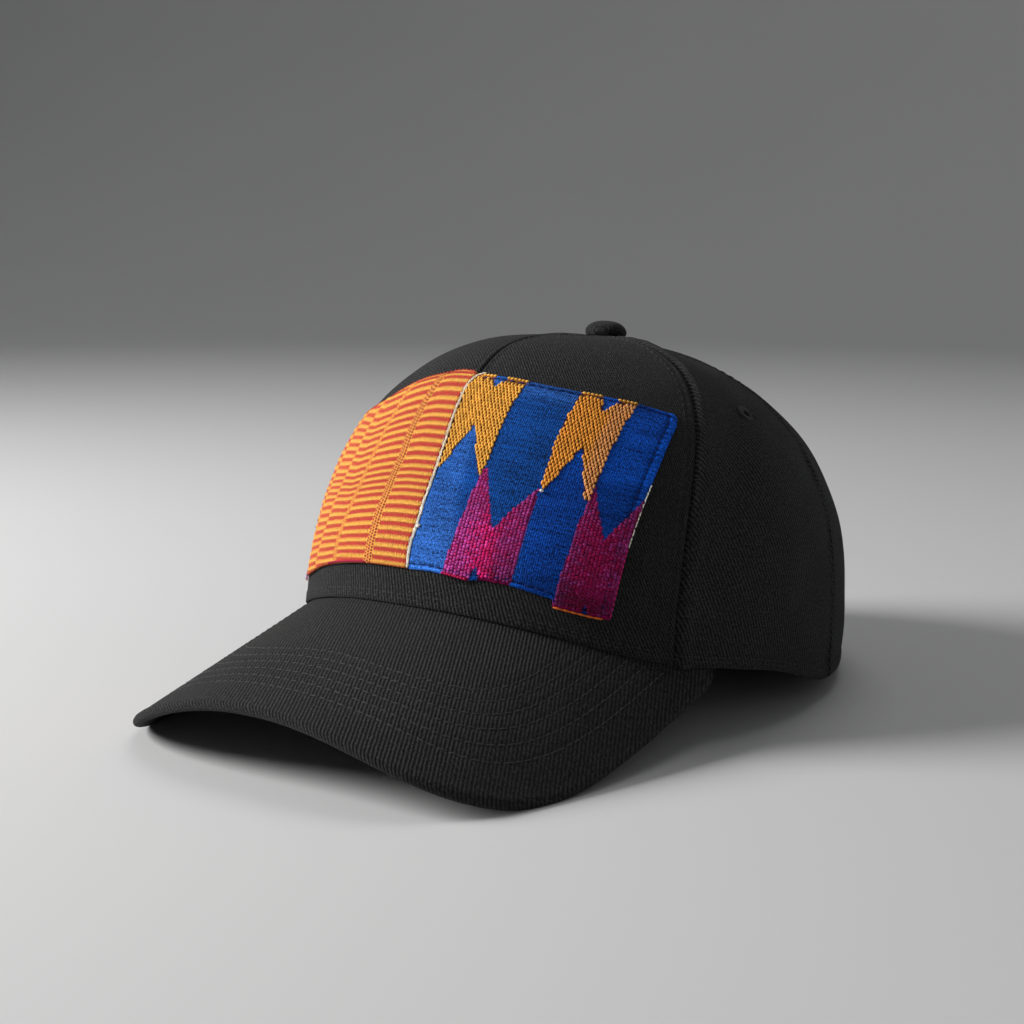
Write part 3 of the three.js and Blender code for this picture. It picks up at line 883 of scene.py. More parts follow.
def visor_section():
    """Rows round the visor's section, from the crown along the top, round the edge and back underneath.

    A flat row has its share of the way to the crown and whether it is underneath. A round one has its
    distance from the edge and its depth.
    """
    half = VISOR["thickness"] / 2
    top = 1 - np.linspace(0, 1, VISOR_ROWS)
    rows = [("flat", t, 0) for t in top]
    for a in np.pi / 2 - np.pi * np.arange(1, ROUND_STEPS) / ROUND_STEPS:
        rows.append(("round", half * (1 - math.cos(a)), half * (1 - math.sin(a))))
    return rows + [("flat", t, 1) for t in top[::-1]]


def visor_relief(plan, from_edge):
    groove = sum(GROOVE["depth"] * hill(nearest(plan, row), 0, GROOVE["width"]) for row in VISOR_STITCH_ROWS)
    crest = CREST["height"] * hill(from_edge, CREST["from_edge"], CREST["width"])
    soft = 0.1 * ripple(plan[:, 0], plan[:, 1], 22, 91)
    return (crest + soft - groove) * smoothstep(from_edge / 1.2)


def flat_row(across, length, to_crown, underneath):
    """Points and cloth coordinates of a row on the visor's upper side or its underside."""
    half = VISOR["thickness"] / 2
    out = (1 - np.minimum(half / length, 0.5)) * (1 - to_crown)
    plan = visor_plan(across, out)
    relief = visor_relief(plan, (1 - out) * length)
    below = VISOR["thickness"] + relief if underneath else -relief
    return visor_plan_point(plan, out, below), plan + [0, UNDERSIDE_AT * underneath]


def round_row(across, length, inwards, depth):
    """Points and cloth coordinates of a row on the visor's rounded edge."""
    half = VISOR["thickness"] / 2
    out = 1 - np.minimum(inwards / length, 0.5 * inwards / half)
    plan = visor_plan(across, out)
    return visor_plan_point(plan, out, np.full_like(out, depth)), plan - [0, depth * 1.4]


def visor_piece():
    across = np.linspace(-1, 1, VISOR_COLUMNS + 1)
    length = visor_length(across)
    make_row = {"flat": flat_row, "round": round_row}
    grid, cloth = [], []
    for kind, *place in visor_section():
        points, uv = make_row[kind](across, length, *place)
        grid.append(points)
        cloth.append(uv)
    rows, per = len(grid), len(across)
    faces = grid_faces(VISOR_COLUMNS, rows - 1)[:, ::-1].tolist()
    last = (rows - 1) * per
    faces += [[last + i, last + i + 1, i + 1, i] for i in range(VISOR_COLUMNS)]
    for j in range((rows - 1) // 2):
        corners = np.array([j, j + 1, rows - 2 - j, rows - 1 - j]) * per
        if corners[1] != corners[2]:
            faces += [corners.tolist(), (corners[::-1] + per - 1).tolist()]
    points, uv = np.concatenate(grid), np.concatenate(cloth)
    make_piece("visor_cloth", points, faces, VISOR_TWILL, "visor_twill", ["visor"], uv=uv)


visor_piece()


def visor_share(plan):
    """How far out each plan point lies between the crown and the edge, found by search along its fan line."""
    across, shares = np.meshgrid(np.linspace(-1, 1, 401), np.linspace(0, 1, 81), indexing="ij")
    fan = visor_plan(across, shares).reshape(-1, 2)
    closest = [np.argmin(((fan - point) ** 2).sum(-1)) for point in plan]
    return shares.ravel()[closest]


def visor_stitches():
    rows = []
    for path in VISOR_STITCH_ROWS:
        plan = path[::3]
        out = visor_share(plan)
        normal = visor_normal(plan)
        top = visor_plan_point(plan, out, np.full_like(out, VISOR_STITCH_DEPTH))
        rows.append(stitch_row(top, normal, **VISOR_STITCH))
        under = visor_plan_point(plan, out, np.full_like(out, VISOR["thickness"] - VISOR_STITCH_DEPTH))
        rows.append(stitch_row(under, -normal, **VISOR_STITCH))
    points, faces = merged(rows)
    make_piece("visor_stitching", points, faces, VISOR_THREAD, "visor_twill")


visor_stitches()

# Sweatband

BAND_COLUMNS = 240
BAND_ROWS = 14
# The outer layer's softness and the roll of both its edges, in millimetres.
BAND_SOFTNESS = 0.16
BAND_ROLL = 0.3
# Up to what share of its height the band still bends from its seat on the visor to the crown's wall.
BAND_FOOT = 0.17
BAND_MM_PER_DEGREE = 1.55
BAND_STITCHES_BELOW_TOP = 2.0


def sweatband_layer(direction, depth, face):
    """Points and cloth coordinates of the band's hidden layer, face -1, or the one that shows, face 1."""
    front = 1 - smoothstep((np.abs(direction) - VISOR["end"]) / SWEATBAND["climbs_over"])
    lift = SWEATBAND["above"] * (1 - front) - SWEATBAND["below"] * front
    plan = rim_inset(direction, np.full_like(direction, depth))
    foot = np.concatenate([plan, (seat_height(direction, plan) + lift)[:, None]], -1)
    shift = foot - crown_point(direction, 0, -depth)
    points, cloth = [], []
    for climb in np.arange(BAND_ROWS + 1) / BAND_ROWS:
        height = np.full_like(direction, SWEATBAND["height"] * climb)
        soft = BAND_SOFTNESS * ripple(direction * 1.5, height, 16, 44) * math.sin(math.pi * climb)
        roll = BAND_ROLL * abs(2 * climb - 1) ** 8 * face
        body = crown_point(direction, height / meridian_length(direction), roll - depth - soft * (face > 0))
        points.append(body + shift * max(0.0, 1 - climb / BAND_FOOT))
        cloth.append(np.stack([direction * BAND_MM_PER_DEGREE, height], -1))
    return np.concatenate(points), np.concatenate(cloth)


def sweatband_piece():
    direction = -180 + 360 * np.arange(BAND_COLUMNS) / BAND_COLUMNS
    outside = WALL + SWEATBAND["clearance"]
    hidden, hidden_cloth = sweatband_layer(direction, outside, -1)
    shown, shown_cloth = sweatband_layer(direction, outside + SWEATBAND["thickness"], 1)
    points, uv = np.concatenate([hidden, shown]), np.concatenate([hidden_cloth, shown_cloth])
    faces = wall_faces(BAND_COLUMNS, BAND_ROWS, closed=True)
    make_piece("sweatband_cloth", points, faces, BAND_CLOTH, "sweatband_cloth", ["sweatband"], uv=uv)


sweatband_piece()


def sweatband_stitches():
    direction = np.arange(-180, 180.1, 0.6)
    share = (SWEATBAND["height"] - BAND_STITCHES_BELOW_TOP) / meridian_length(direction)
    depth = WALL + SWEATBAND["clearance"] + SWEATBAND["thickness"]
    path = crown_point(direction, share, -depth)
    normal = -crown_frame(direction, share)[1]
    points, faces = stitch_row(path, normal, **CROWN_STITCH)
    make_piece("sweatband_stitching", points, faces, BLACK_THREAD, "sweatband_cloth")


sweatband_stitches()

# Button and eyelets

def lathe(name, profile, uneven, centre, axis, material, slot, node, closed=False):
    """A turned piece about an axis. The profile's rows are radius, height and share of the unevenness.

    The unevenness is a list of additions to the radius, evenly round the piece.
    """
    axis = unit(np.asarray(axis, float))
    helper = np.array([1.0, 0, 0]) if abs(axis[0]) < 0.8 else np.array([0, 1.0, 0])
    first = unit(np.cross(helper, axis))
    second = np.cross(axis, first)
    sides = len(uneven)
    turn = 2 * np.pi * np.arange(sides) / sides
    rows, cloth = [], []
    for radius, height, share in profile:
        x, y = (radius + share * uneven) * np.cos(turn), (radius + share * uneven) * np.sin(turn)
        rows.append(centre + x[:, None] * first + y[:, None] * second + height * axis)
        cloth.append(np.stack([x, y + height], -1))
    points = np.concatenate(rows)
    if closed:
        faces = (grid_faces(sides, len(profile), closed=True) % len(points)).tolist()
    else:
        faces = grid_faces(sides, len(profile) - 1, closed=True).tolist()
        faces += [list(range(sides))[::-1], list(range(len(points) - sides, len(points)))]
    make_piece(name, points, faces, material, slot, [node], uv=np.concatenate(cloth))


BUTTON_STEM = {"radius": 2.5, "depth": 5.0}
BUTTON_SIDES = 96
DOME_STEPS = 14
GATHERS = {"depth": 0.14, "height": 1.0, "reach": 1.1}


def button_piece():
    """The cloth-covered dome, gathered round its edge, with its stem."""
    radius, height = BUTTON["radius"], BUTTON["height"]
    shoulder = BUTTON["shoulder"] * height
    outline = [(BUTTON_STEM["radius"], -BUTTON_STEM["depth"]), (BUTTON_STEM["radius"], GAP)]
    outline += [(radius * 0.8, GAP), (radius * BUTTON["underside"], GAP + 0.15)]
    outline += [(radius * 0.985, GAP + 0.6), (radius, shoulder)]
    for a in np.pi / 2 * np.arange(1, DOME_STEPS) / DOME_STEPS:
        outline.append((radius * math.cos(a) ** 0.9, shoulder + (height - shoulder) * math.sin(a)))
    profile = []
    for reach, level in outline:
        gathered = GATHERS["depth"] * hill(level, GATHERS["height"], GATHERS["reach"]) * (level > 0)
        profile.append((reach, level, gathered))
    turn = 2 * np.pi * np.arange(BUTTON_SIDES) / BUTTON_SIDES
    gathers = np.cos(9 * turn + 0.6 * np.sin(3 * turn))
    centre = np.array([0, APEX_Y, APEX_HEIGHT])
    looks = (BUTTON_TWILL, "button_cloth", "top_button")
    lathe("top_button_cloth", profile, gathers, centre, (0, 0, 1), *looks)


button_piece()

EYELET_SIDES = 204
EYELET_STEPS = 18
EYELET_NARROWS = 0.5


def softened(value, power):
    """A sine or cosine with its curve made fuller, and its sign kept."""
    return math.copysign(abs(value) ** power, value)


def eyelet_piece(name, direction, height, side):
    """A ring of satin stitches round a hole, through the crown's wall."""
    point, normal = crown_frame(direction * side, height / meridian_length(direction))
    top, bottom = EYELET["proud"] * 0.4, -WALL - EYELET["proud"]
    hole = EYELET["hole"] * EYELET_NARROWS
    middle_radius = (hole + EYELET["thread"]) / 2
    half_radius = (EYELET["thread"] - hole) / 2
    profile = []
    for a in 2 * np.pi * np.arange(EYELET_STEPS) / EYELET_STEPS:
        lift = (top + bottom) / 2 + (top - bottom) / 2 * softened(math.sin(a), 0.7)
        profile.append((middle_radius + half_radius * softened(math.cos(a), 0.6), lift, 1.0))
    turn = 2 * np.pi * np.arange(EYELET_SIDES) / EYELET_SIDES
    strands = 0.1 * np.cos(34 * turn) + 0.05 * np.cos(5 * turn + 1)
    looks = (EYELET_THREAD, "eyelet_thread", name)
    lathe(name + "_thread", profile, strands, point, normal, *looks, closed=True)


for eyelet, (direction, height) in EYELETS.items():
    eyelet_piece(eyelet + "_left", direction, height, 1)
    eyelet_piece(eyelet + "_right", direction, height, -1)

# Kente patch: w is the distance across from the centre front and h the height up from the rim

# Edges of the patch's halves by height or by width, as (place, edge).
JOIN = np.array([
    (9.8, 1.1), (11.5, 1.0), (15.5, 0.35), (19.6, 0.2), (23.9, 0.6), (26.5, 0.75), (30.7, 0.75),
    (35.1, 1.05), (40, 1.3), (45, 1.35), (50, 1.15), (54.6, 0.8), (59.9, 0.3), (64.7, -0.1), (69.2, -0.4),
    (72.5, -0.35), (75.4, 0.35), (77.0, 1.6), (78.0, 3.8),
])
JOIN_OF_STRIPES = np.array([*JOIN[:16], (74.5, 0.0), (76.5, 0.7), (79.5, 0.9)]) - [0, 0.35]
JOIN_OF_ZIGZAG = JOIN + [0, 0.1]
RIGHT_EDGE = np.array([
    (9.2, 64.6), (9.7, 65.2), (17.1, 65.5), (32.5, 65.7), (46.1, 66.4), (52.2, 66.8), (61.3, 67.2),
    (74.3, 67.3), (77.3, 66.4), (78.6, 65.3),
])
LEFT_EDGE = np.array([(9.8, -65.0), (80, -64.3)])
TOP_EDGE = np.array([
    (-66, 68), (-40.3, 70.2), (-33.4, 72.7), (-25.5, 75.3), (-19.4, 76.7), (-12.7, 77.6), (-7.8, 78.9),
    (-4.5, 79.2), (-0.9, 78.8), (1.4, 78.0), (7.2, 77.9), (18.9, 77.6), (26.6, 77.8), (35.2, 78.6),
    (41.7, 79.5), (52.2, 80.2), (58.1, 79.8), (64.8, 78.9), (66.4, 77.6),
])
BOTTOM_EDGE = np.array([
    (-66, 8.6), (-53.1, 9.3), (-44.8, 10.2), (-33, 10.7), (-15.6, 11.1), (1, 11.1), (9.3, 11.2),
    (14.1, 10.9), (21, 10.3), (25.2, 11.3), (33.7, 11.7), (40.6, 11.3), (47.2, 11.0), (47.9, 8.8),
    (53, 8.8), (59, 8.9), (65, 9.3),
])
CLOTH_BASE = GAP + 0.05
CLOTH_TOP = 1.15


def table_edge(table, place):
    return np.interp(place, table[:, 0], table[:, 1])


# The patch's grid is denser in a margin beside its edges.
MARGIN = 1.6
MARGIN_STEPS = 6
# The size of a half and its height above the rim, about which the edges waver.
PATCH_WIDTH = 64
PATCH_HEIGHT = 68
PATCH_ABOVE_RIM = 10


def margined(count, width):
    """Places from 0 to 1 over a width, denser in the margins."""
    margin = MARGIN / width
    close = np.linspace(0, margin, MARGIN_STEPS)
    return np.concatenate([close, np.linspace(margin, 1 - margin, count)[1:-1], 1 - close[::-1]])


def patch_places(left, right, columns, rows):
    """Grid of w and h between the edge tables, as shares between the edges and as millimetres."""
    s, t = np.meshgrid(margined(columns, PATCH_WIDTH), margined(rows, PATCH_HEIGHT))
    h = PATCH_ABOVE_RIM + PATCH_HEIGHT * t
    for _ in range(3):
        w = table_edge(left, h) * (1 - s) + table_edge(right, h) * s
        h = table_edge(BOTTOM_EDGE, w) * (1 - t) + table_edge(TOP_EDGE, w) * t
    return s, t, w, h


def edge_distances(s, t, w, h, left, right):
    """Distances from the left, the right, the bottom and the top edge."""
    across = table_edge(right, h) - table_edge(left, h)
    up = table_edge(TOP_EDGE, w) - table_edge(BOTTOM_EDGE, w)
    return s * across, (1 - s) * across, t * up, (1 - t) * up


def rolled_edges(distances):
    return sum(rolled_edge(distance, 0.7, 0.45, 1.6) for distance in distances)


def patch_piece(name, node, w, h, relief, material, slot, uv, colour=None):
    outer = on_cloth(w, h, CLOTH_TOP + relief).reshape(-1, 3)
    inner = on_cloth(w, h, CLOTH_BASE).reshape(-1, 3)
    points = np.concatenate([outer, inner])
    faces = wall_faces(w.shape[1] - 1, w.shape[0] - 1)
    uv = np.stack([place.ravel() for place in uv], -1)
    if colour is not None:
        colour = np.concatenate([colour, colour])
    make_piece(name, points, faces, material, slot, [node], np.concatenate([uv, uv]), colour)


# The striped half. Its bands of crossed threads run up the cloth, and the stripes change over at each band.
BANDS = [
    np.array([(9.8, 2.2), (80, 2.2)]),
    np.array([
        (12.5, -15.7), (18.2, -16.2), (28.4, -16.0), (33.3, -15.4), (42.2, -14.6), (46.8, -14.1),
        (58.6, -14.5), (64.2, -14.4), (70.1, -13.9), (77.2, -13.1),
    ]),
    np.array([
        (12.2, -34.3), (18.2, -34.8), (24.1, -34.0), (29, -32.4), (34, -31.1), (41.4, -29.5), (50.8, -28.7),
        (63.3, -27.6), (69, -27.3), (74.6, -25.9),
    ]),
    np.array([(11.8, -50.7), (26.4, -47.3), (43, -42.9), (63.5, -41.4), (78, -40.4)]),
    np.array([(9.8, -66.0), (43, -57.1), (78, -56.2)]),
]
BAND_PITCH = 20.0
# How far a band reaches to each side, and how fast that shrinks towards the outer edge.
BAND_REACH = 2.0
BAND_WIDER = 0.75
BAND_NARROWS = 0.035
# The crossed threads of a band: their width across and their pitch up, in the same units as the stripes.
LINK_WIDTH = 1.3
LINK_PITCH = 0.36
# The height of some of the yellow stripes beside the join, as (height, stripe number).
STRIPES = np.array([
    (6.0, -2.25), (11.8, 0), (19.8, 3), (28.2, 6), (33.8, 8), (38.3, 10), (43.0, 12), (45.8, 13),
    (54.8, 16), (63.8, 19), (67.0, 20), (70.8, 21), (74.4, 22), (76.8, 23), (78.6, 24), (90.0, 29),
])
# How steeply the stripes sink away from the join, as (height, slope). They are level up to LEVEL_TO across,
# and beyond TURNS_AT they climb again.
STRIPE_SLOPE = np.array([(12, 0), (27, 0.053), (40, 0.1), (50, 0.14), (58, 0.175), (70, 0.177), (76, 0.14)])
LEVEL_TO = 8.0
TURNS_AT = 36.0
TURN = 2.2


def stripe_coordinates(w, h):
    """Across in band pitches times BAND_PITCH and up in stripe pitches, both following the weave."""
    edges = [table_edge(band, h) for band in BANDS]
    across = np.empty_like(w)
    for k in range(len(BANDS) - 1, 0, -1):
        outer, inner = edges[k], edges[k - 1]
        value = (w - outer) / (inner - outer) * BAND_PITCH - BAND_PITCH * k
        reached = (w >= outer) | (k == len(BANDS) - 1)
        across[reached] = value[reached]
    run = np.maximum(-w - LEVEL_TO, 0) - TURN * np.maximum(-w - TURNS_AT, 0)
    sunk = table_edge(STRIPE_SLOPE, h) * run
    waver = 0.05 * smoothstep((-w - 16) / 14) * ripple(w, h * 1.5, 12, 71)
    return across, table_edge(STRIPES, h + sunk) + waver


STRIPED_TONE = {"grain": 1.75, "ribs": -0.24, "fibre": 0.3, "ground": 0.13}
# The pitch of the ribs and of the teeth along the stripes, in stripe coordinates.
TEETH_PITCH = 1.15
RIB_PITCH = 0.85
DARK_DOT = linear(176, 84, 30)
LIGHT_RED = linear(216, 92, 66)
LINK_YELLOW = linear(244, 160, 72)
LINK_BROWN = linear(134, 34, 26)


def striped_bands(m, u, v):
    """The bands of crossed threads, and where they lie."""
    cell = m.math("FLOORED_MODULO", m.plus(u, BAND_PITCH / 2), BAND_PITCH)
    off_band = m.math("ABSOLUTE", m.math("SUBTRACT", cell, BAND_PITCH / 2))
    thread_column = m.math("FLOOR", m.scaled(off_band, 1 / LINK_WIDTH, 0.5))
    link = m.wave(m.scaled(thread_column, LINK_PITCH / 2, v), LINK_PITCH)
    link = m.times(link, m.wave(off_band, LINK_WIDTH))
    link = m.math("SMOOTH_MIN", m.scaled(link, 4.0, -0.35), 1.0, 0.1)
    strength = m.at_least(m.scaled(u, 0.025, 1.5), 0.4)
    link = m.times(m.at_least(link, 0.0), strength)
    reach = m.math("MINIMUM", m.scaled(u, BAND_NARROWS, BAND_REACH + BAND_WIDER), BAND_REACH)
    in_band = m.times(m.math("LESS_THAN", off_band, reach), m.math("LESS_THAN", u, -BAND_PITCH / 2))
    return m.mix(link, LINK_YELLOW, LINK_BROWN), in_band


def striped_material():
    m = Shader("striped kente", 0.85, 0.08, (1.0, 0.8, 0.6))
    u, v = m.uv()
    column = m.math("FLOOR", m.math("DIVIDE", u, BAND_PITCH))
    changed = m.times(m.math("FLOORED_MODULO", m.plus(column, 1.0), 2.0), 0.5)
    far = m.at_least(m.scaled(u, -0.02, -0.5), 0.0)
    ragged = m.noise(m.place(m.times(u, 1.3), m.times(v, 4.0)), 1.0, 2)
    ragged = m.scaled(ragged, 0.14, -0.07)
    teeth = m.scaled(m.wave(u, TEETH_PITCH), 0.18, -0.09)
    phase = m.plus(m.plus(v, changed), m.plus(ragged, teeth))
    crest = m.scaled(far, 0.1, m.wave(phase, 1.0))
    stripe = m.math("SMOOTH_MIN", m.at_least(m.scaled(crest, 4.0, -1.55), 0.0), 1.0, 0.05)
    dots = m.times(m.wave(u, TEETH_PITCH), m.wave(phase, 0.5, math.pi))
    dots = m.math("GREATER_THAN", m.scaled(m.noise(m.place(u, v), 0.9, 1), 0.5, dots), 0.82)
    yellow = m.mix(m.times(dots, 0.6), STRIPE_YELLOW, DARK_DOT)
    red = m.mix(m.times(m.wave(u, TEETH_PITCH, math.pi), 0.3), STRIPE_RED, LIGHT_RED)
    crossed, in_band = striped_bands(m, u, v)
    colour = m.mix(in_band, m.mix(stripe, red, yellow), crossed)
    # Mixed towards the orange haze in random patches, a real unevenness, and more on the far left, where it
    # is partly the yarn's fuzz and partly painted sheen.
    fade = m.noise(m.place(m.times(u, 0.3), m.times(v, 1.2)), 1.0, 3)
    colour = m.mix(m.scaled(fade, 0.12, m.times(far, 0.12)), colour, STRIPE_FUZZ_AND_SHEEN)
    fibre = m.fibres(1800)
    grain = m.noise(m.place(u, m.times(v, 3.0)), 1.1, 2, 0.8)
    shade = m.scaled(m.wave(u, RIB_PITCH), STRIPED_TONE["ribs"], STRIPED_TONE["ground"])
    shade = m.scaled(grain, STRIPED_TONE["grain"], shade)
    shade = m.scaled(fibre, STRIPED_TONE["fibre"], shade)
    thread = m.times(m.wave(u, 0.62), m.wave(v, 0.17))
    height = m.scaled(fibre, 0.4, m.plus(thread, m.times(dots, -0.6)))
    return m.finish(m.shaded(colour, shade), height, 0.16)


STRIPE_RISE = 0.2
BAND_RISE = 0.16
LINK_RISE = 0.14
BAND_GROOVE = 0.18


def striped_piece():
    s, t, w, h = patch_places(LEFT_EDGE, JOIN_OF_STRIPES, 112, 232)
    across, up = stripe_coordinates(w, h)
    distances = edge_distances(s, t, w, h, LEFT_EDGE, JOIN_OF_STRIPES)
    to_bottom, to_top = distances[2:]
    between_bands = np.floor(across / BAND_PITCH)
    crest = 0.5 + 0.5 * np.cos(2 * np.pi * (up + 0.5 * ((between_bands + 1) % 2)))
    off_band = np.abs((across + BAND_PITCH / 2) % BAND_PITCH - BAND_PITCH / 2)
    reach = np.minimum(BAND_REACH + BAND_WIDER + BAND_NARROWS * across, BAND_REACH)
    beside_join = across < -BAND_PITCH / 2
    in_band = (1 - smoothstep((off_band - reach + 0.6) / 0.8)) * beside_join
    links = 0.5 + 0.5 * np.cos(2 * np.pi * up / LINK_PITCH)
    relief = STRIPE_RISE * smoothstep((crest - 0.25) / 0.4) * (1 - in_band)
    relief = relief + in_band * (BAND_RISE + LINK_RISE * links)
    relief = relief - BAND_GROOVE * hill(off_band, reach + 0.3, 0.5) * beside_join
    relief = relief - 0.3 * hill(to_bottom, 1.7, 0.35) - 0.25 * hill(to_top, 1.6, 0.35)
    relief = relief + rolled_edges(distances) + 0.12 * ripple(w, h, 19, 70)
    material = striped_material()
    patch_piece("kente_stripes_cloth", "kente_stripes", w, h, relief, material, "striped_kente", (across, up))


striped_piece()

# The zigzag half: outlines of the woven motifs, across and up.
YELLOW_MOTIFS = [
    [
        (-1.5, 79.5), (7.8, 79.5), (7.9, 75.5), (9.2, 72.2), (12.2, 76.6), (12.4, 79.5), (18.7, 79.5),
        (17.6, 62), (17.5, 45.5), (17.0, 42.4), (15.9, 42.7), (9.0, 59.0), (2.7, 43.5), (-1.5, 42.8),
    ],
    [
        (35.5, 80.5), (42.0, 80.5), (42.2, 77.4), (44.4, 72.2), (47.0, 77.4), (47.2, 80.5), (52.7, 80.5),
        (51.7, 66), (51.5, 56), (50.9, 48), (50.4, 42.2), (49.3, 42.2), (43.4, 58.6), (37.6, 43.3),
        (36.6, 42.0), (35.9, 43.5), (35.3, 58),
    ],
]
MAGENTA_MOTIFS = [
    [
        (17.2, 44.2), (18.3, 45.2), (19.8, 41.1), (25.4, 26.5), (30.1, 34.2), (35.6, 42.6), (35.5, 38),
        (35.3, 25.5), (34.2, 9), (25.4, 9), (23.3, 15.9), (21.3, 9), (12.8, 9), (14.4, 22), (15.7, 33.3),
    ],
    [
        (50.2, 42), (51.1, 47.9), (52.7, 42.9), (57.9, 31.7), (63.1, 41.1), (66.2, 46.9), (67.6, 47),
        (66.2, 30), (66, 8), (58.4, 8), (57.0, 12.6), (55.6, 8), (47.6, 8), (48.7, 21.1), (49.6, 33.3),
    ],
]
# How the floats stand in the motifs: their pitch across and up, by what share of a step every other column
# stands higher, and how loosely. Then the shape of each float.
YELLOW_LATTICE = {"pitch": (0.58, 2.1), "stagger": 0.5, "loose": 0.09, "seed": 21}
MAGENTA_LATTICE = {"pitch": (1.08, 0.9), "stagger": 0.3, "loose": 0.13, "seed": 22}
YELLOW_FLOAT = {"half_length": 0.76, "half_width": 0.42, "half_height": 0.34, "lean": -0.1, "lift": 0.1}
MAGENTA_FLOAT = {"half_length": 0.47, "half_width": 0.55, "half_height": 0.2, "lean": 0.05, "lift": -0.02}
HEM_FLOAT = {"half_length": 0.6, "half_width": 0.44, "half_height": 0.3, "pitch": 1.2, "below_top": 0.75}
# The ground seen in the gaps between the yellow floats: a dark brown of painted shade.
YELLOW_GROUND_IN_PAINTED_SHADE = linear(92, 46, 18)
YELLOW_HEM = linear(190, 118, 50)
# The ground seen in the gaps between the magenta floats: a darker magenta of painted shade.
MAGENTA_GROUND_IN_PAINTED_SHADE = linear(132, 12, 74)


def inside(polygons, w, h):
    """Which places lie inside any of the closed outlines."""
    result = np.zeros(w.shape, bool)
    for polygon in polygons:
        within = np.zeros(w.shape, bool)
        for (w1, h1), (w2, h2) in zip(polygon, polygon[1:] + polygon[:1]):
            if h1 != h2:
                within ^= ((h1 > h) != (h2 > h)) & (w < (w2 - w1) * (h - h1) / (h2 - h1) + w1)
        result |= within
    return result


GROUND_TONE = {"streak": 2.2, "cloud": 1.1, "pick": 0.08, "speck": 5.2, "fibre": 0.4, "ground": -3.48}
DARKEST_GROUND = 0.12


def ground_material():
    m = Shader("kente ground", 0.85, 0.03, (0.5, 0.7, 1.0), specular=0.1)
    u, v = m.uv()
    parts = {
        "streak": m.noise(m.place(m.times(u, 0.06), m.times(v, 1.1)), 1.0, 4, 0.7),
        "cloud": m.noise(m.place(m.times(u, 0.35), v), 0.14, 2),
        "pick": m.times(m.wave(u, 0.66), m.wave(v, 0.58)),
        "speck": m.noise(m.place(u, v), 1.4, 2, 0.9),
        "fibre": m.fibres(1500, 3, 0.65),
    }
    shade = GROUND_TONE["ground"]
    for key, part in parts.items():
        shade = m.scaled(part, GROUND_TONE[key], shade)
    shade = m.at_least(shade, DARKEST_GROUND)
    return m.finish(m.shaded(m.dye_and_painted_light(), shade), m.scaled(parts["fibre"], 0.5, parts["pick"]), 0.16)


def blue_dye_and_painted_light(w, h):
    """The blue ground: lighter low on the left, partly a real lighter patch and partly painted highlight;
    lighter along the top; darker low on the right.
    """
    # Lighter low beside the join: partly a real lighter patch in the blue, partly painted highlight from the
    # light on the left.
    lightened = 1 - smoothstep((w - 9 - 5 * hill(h, 16, 12)) / 5)
    lightened = lightened * (1 - 0.3 * smoothstep((h - 22) / 14))
    # Lighter along the top as well.
    lightened = np.maximum(lightened, 0.75 * hill(h, 75, 3.5) * (1 - smoothstep((w - 34) / 16)))[..., None]
    right = smoothstep((w - 34) / 4)[..., None]
    # Darker low on the right between the magenta motifs, with a clearer blue on the right. Lighter again low
    # on the left, which is more of the real lighter patch and the painted highlight.
    darkened = 0.36 * (1 - smoothstep((h - 46) / 8)) - 0.18 * hill(h, 25, 5) + 0.2 * hill(h, 12, 4)
    shade = 0.95 + 0.2 * hill(h, 12, 6)[..., None] * (1 - right) - right * darkened[..., None]
    whole = BLUE * (1 - right) + CLEAR_BLUE * right
    return (whole * (1 - lightened) + LIGHTENED_BLUE * lightened) * shade


def zigzag_colours(w, h, distances):
    """Colours of the ground cloth: the blue, painted shade under the floats where it shows in the gaps
    between them, darker in the stitch lines and lighter on the folds.
    """
    to_right, to_bottom, to_top = distances[1:]
    yellow = inside(YELLOW_MOTIFS, w, h)
    magenta = inside(MAGENTA_MOTIFS, w, h)
    colour = blue_dye_and_painted_light(w, h)
    # Painted shade in the gaps between the floats.
    colour[yellow] = YELLOW_GROUND_IN_PAINTED_SHADE
    colour[yellow & (to_top < 2.2)] = YELLOW_HEM
    colour[magenta] = MAGENTA_GROUND_IN_PAINTED_SHADE
    light = 1 + 0.45 * (1 - smoothstep((to_right - 2.9) / 0.5)) * ~magenta
    light = light + 0.8 * (1 - smoothstep((to_bottom - 1.0) / 0.4)) * ~magenta * (w < 47)
    stitched = np.maximum(hill(to_top, 1.7, 0.4), hill(to_bottom, 1.6, 0.35))
    stitched = np.maximum(stitched, 0.8 * hill(to_right, 3.0, 0.35))
    return (colour * (light * (1 - 0.55 * stitched))[..., None]).reshape(-1, 3)


def zigzag_piece():
    s, t, w, h = patch_places(JOIN_OF_ZIGZAG, RIGHT_EDGE, 120, 128)
    distances = edge_distances(s, t, w, h, JOIN_OF_ZIGZAG, RIGHT_EDGE)
    to_right, to_bottom, to_top = distances[1:]
    relief = 0.1 * ripple(w, h, 17, 80) + 0.05 * ripple(w * 0.15, h, 3.2, 81)
    relief = relief - 0.4 * hill(to_top, 1.7, 0.35) - 0.35 * hill(to_bottom, 1.6, 0.3)
    relief = relief - 0.3 * hill(to_right, 3.0, 0.35) + rolled_edges(distances)
    vertex_colours = zigzag_colours(w, h, distances)
    material = ground_material()
    patch_piece("kente_zigzag_cloth", "kente_zigzag", w, h, relief, material, "zigzag_kente", (w, h), vertex_colours)


zigzag_piece()

# How a float swells and rises from end to end, as shares of its half width and half height.
GRAIN_SHAPE = np.array([0.35, 0.85, 1.0, 0.85, 0.35])
GRAIN_RISE = np.array([-0.25, 0.05, 0.12, 0.05, -0.25])
FLOAT_SIDES = 8
FLOAT_POINTS = FLOAT_SIDES * len(GRAIN_SHAPE)




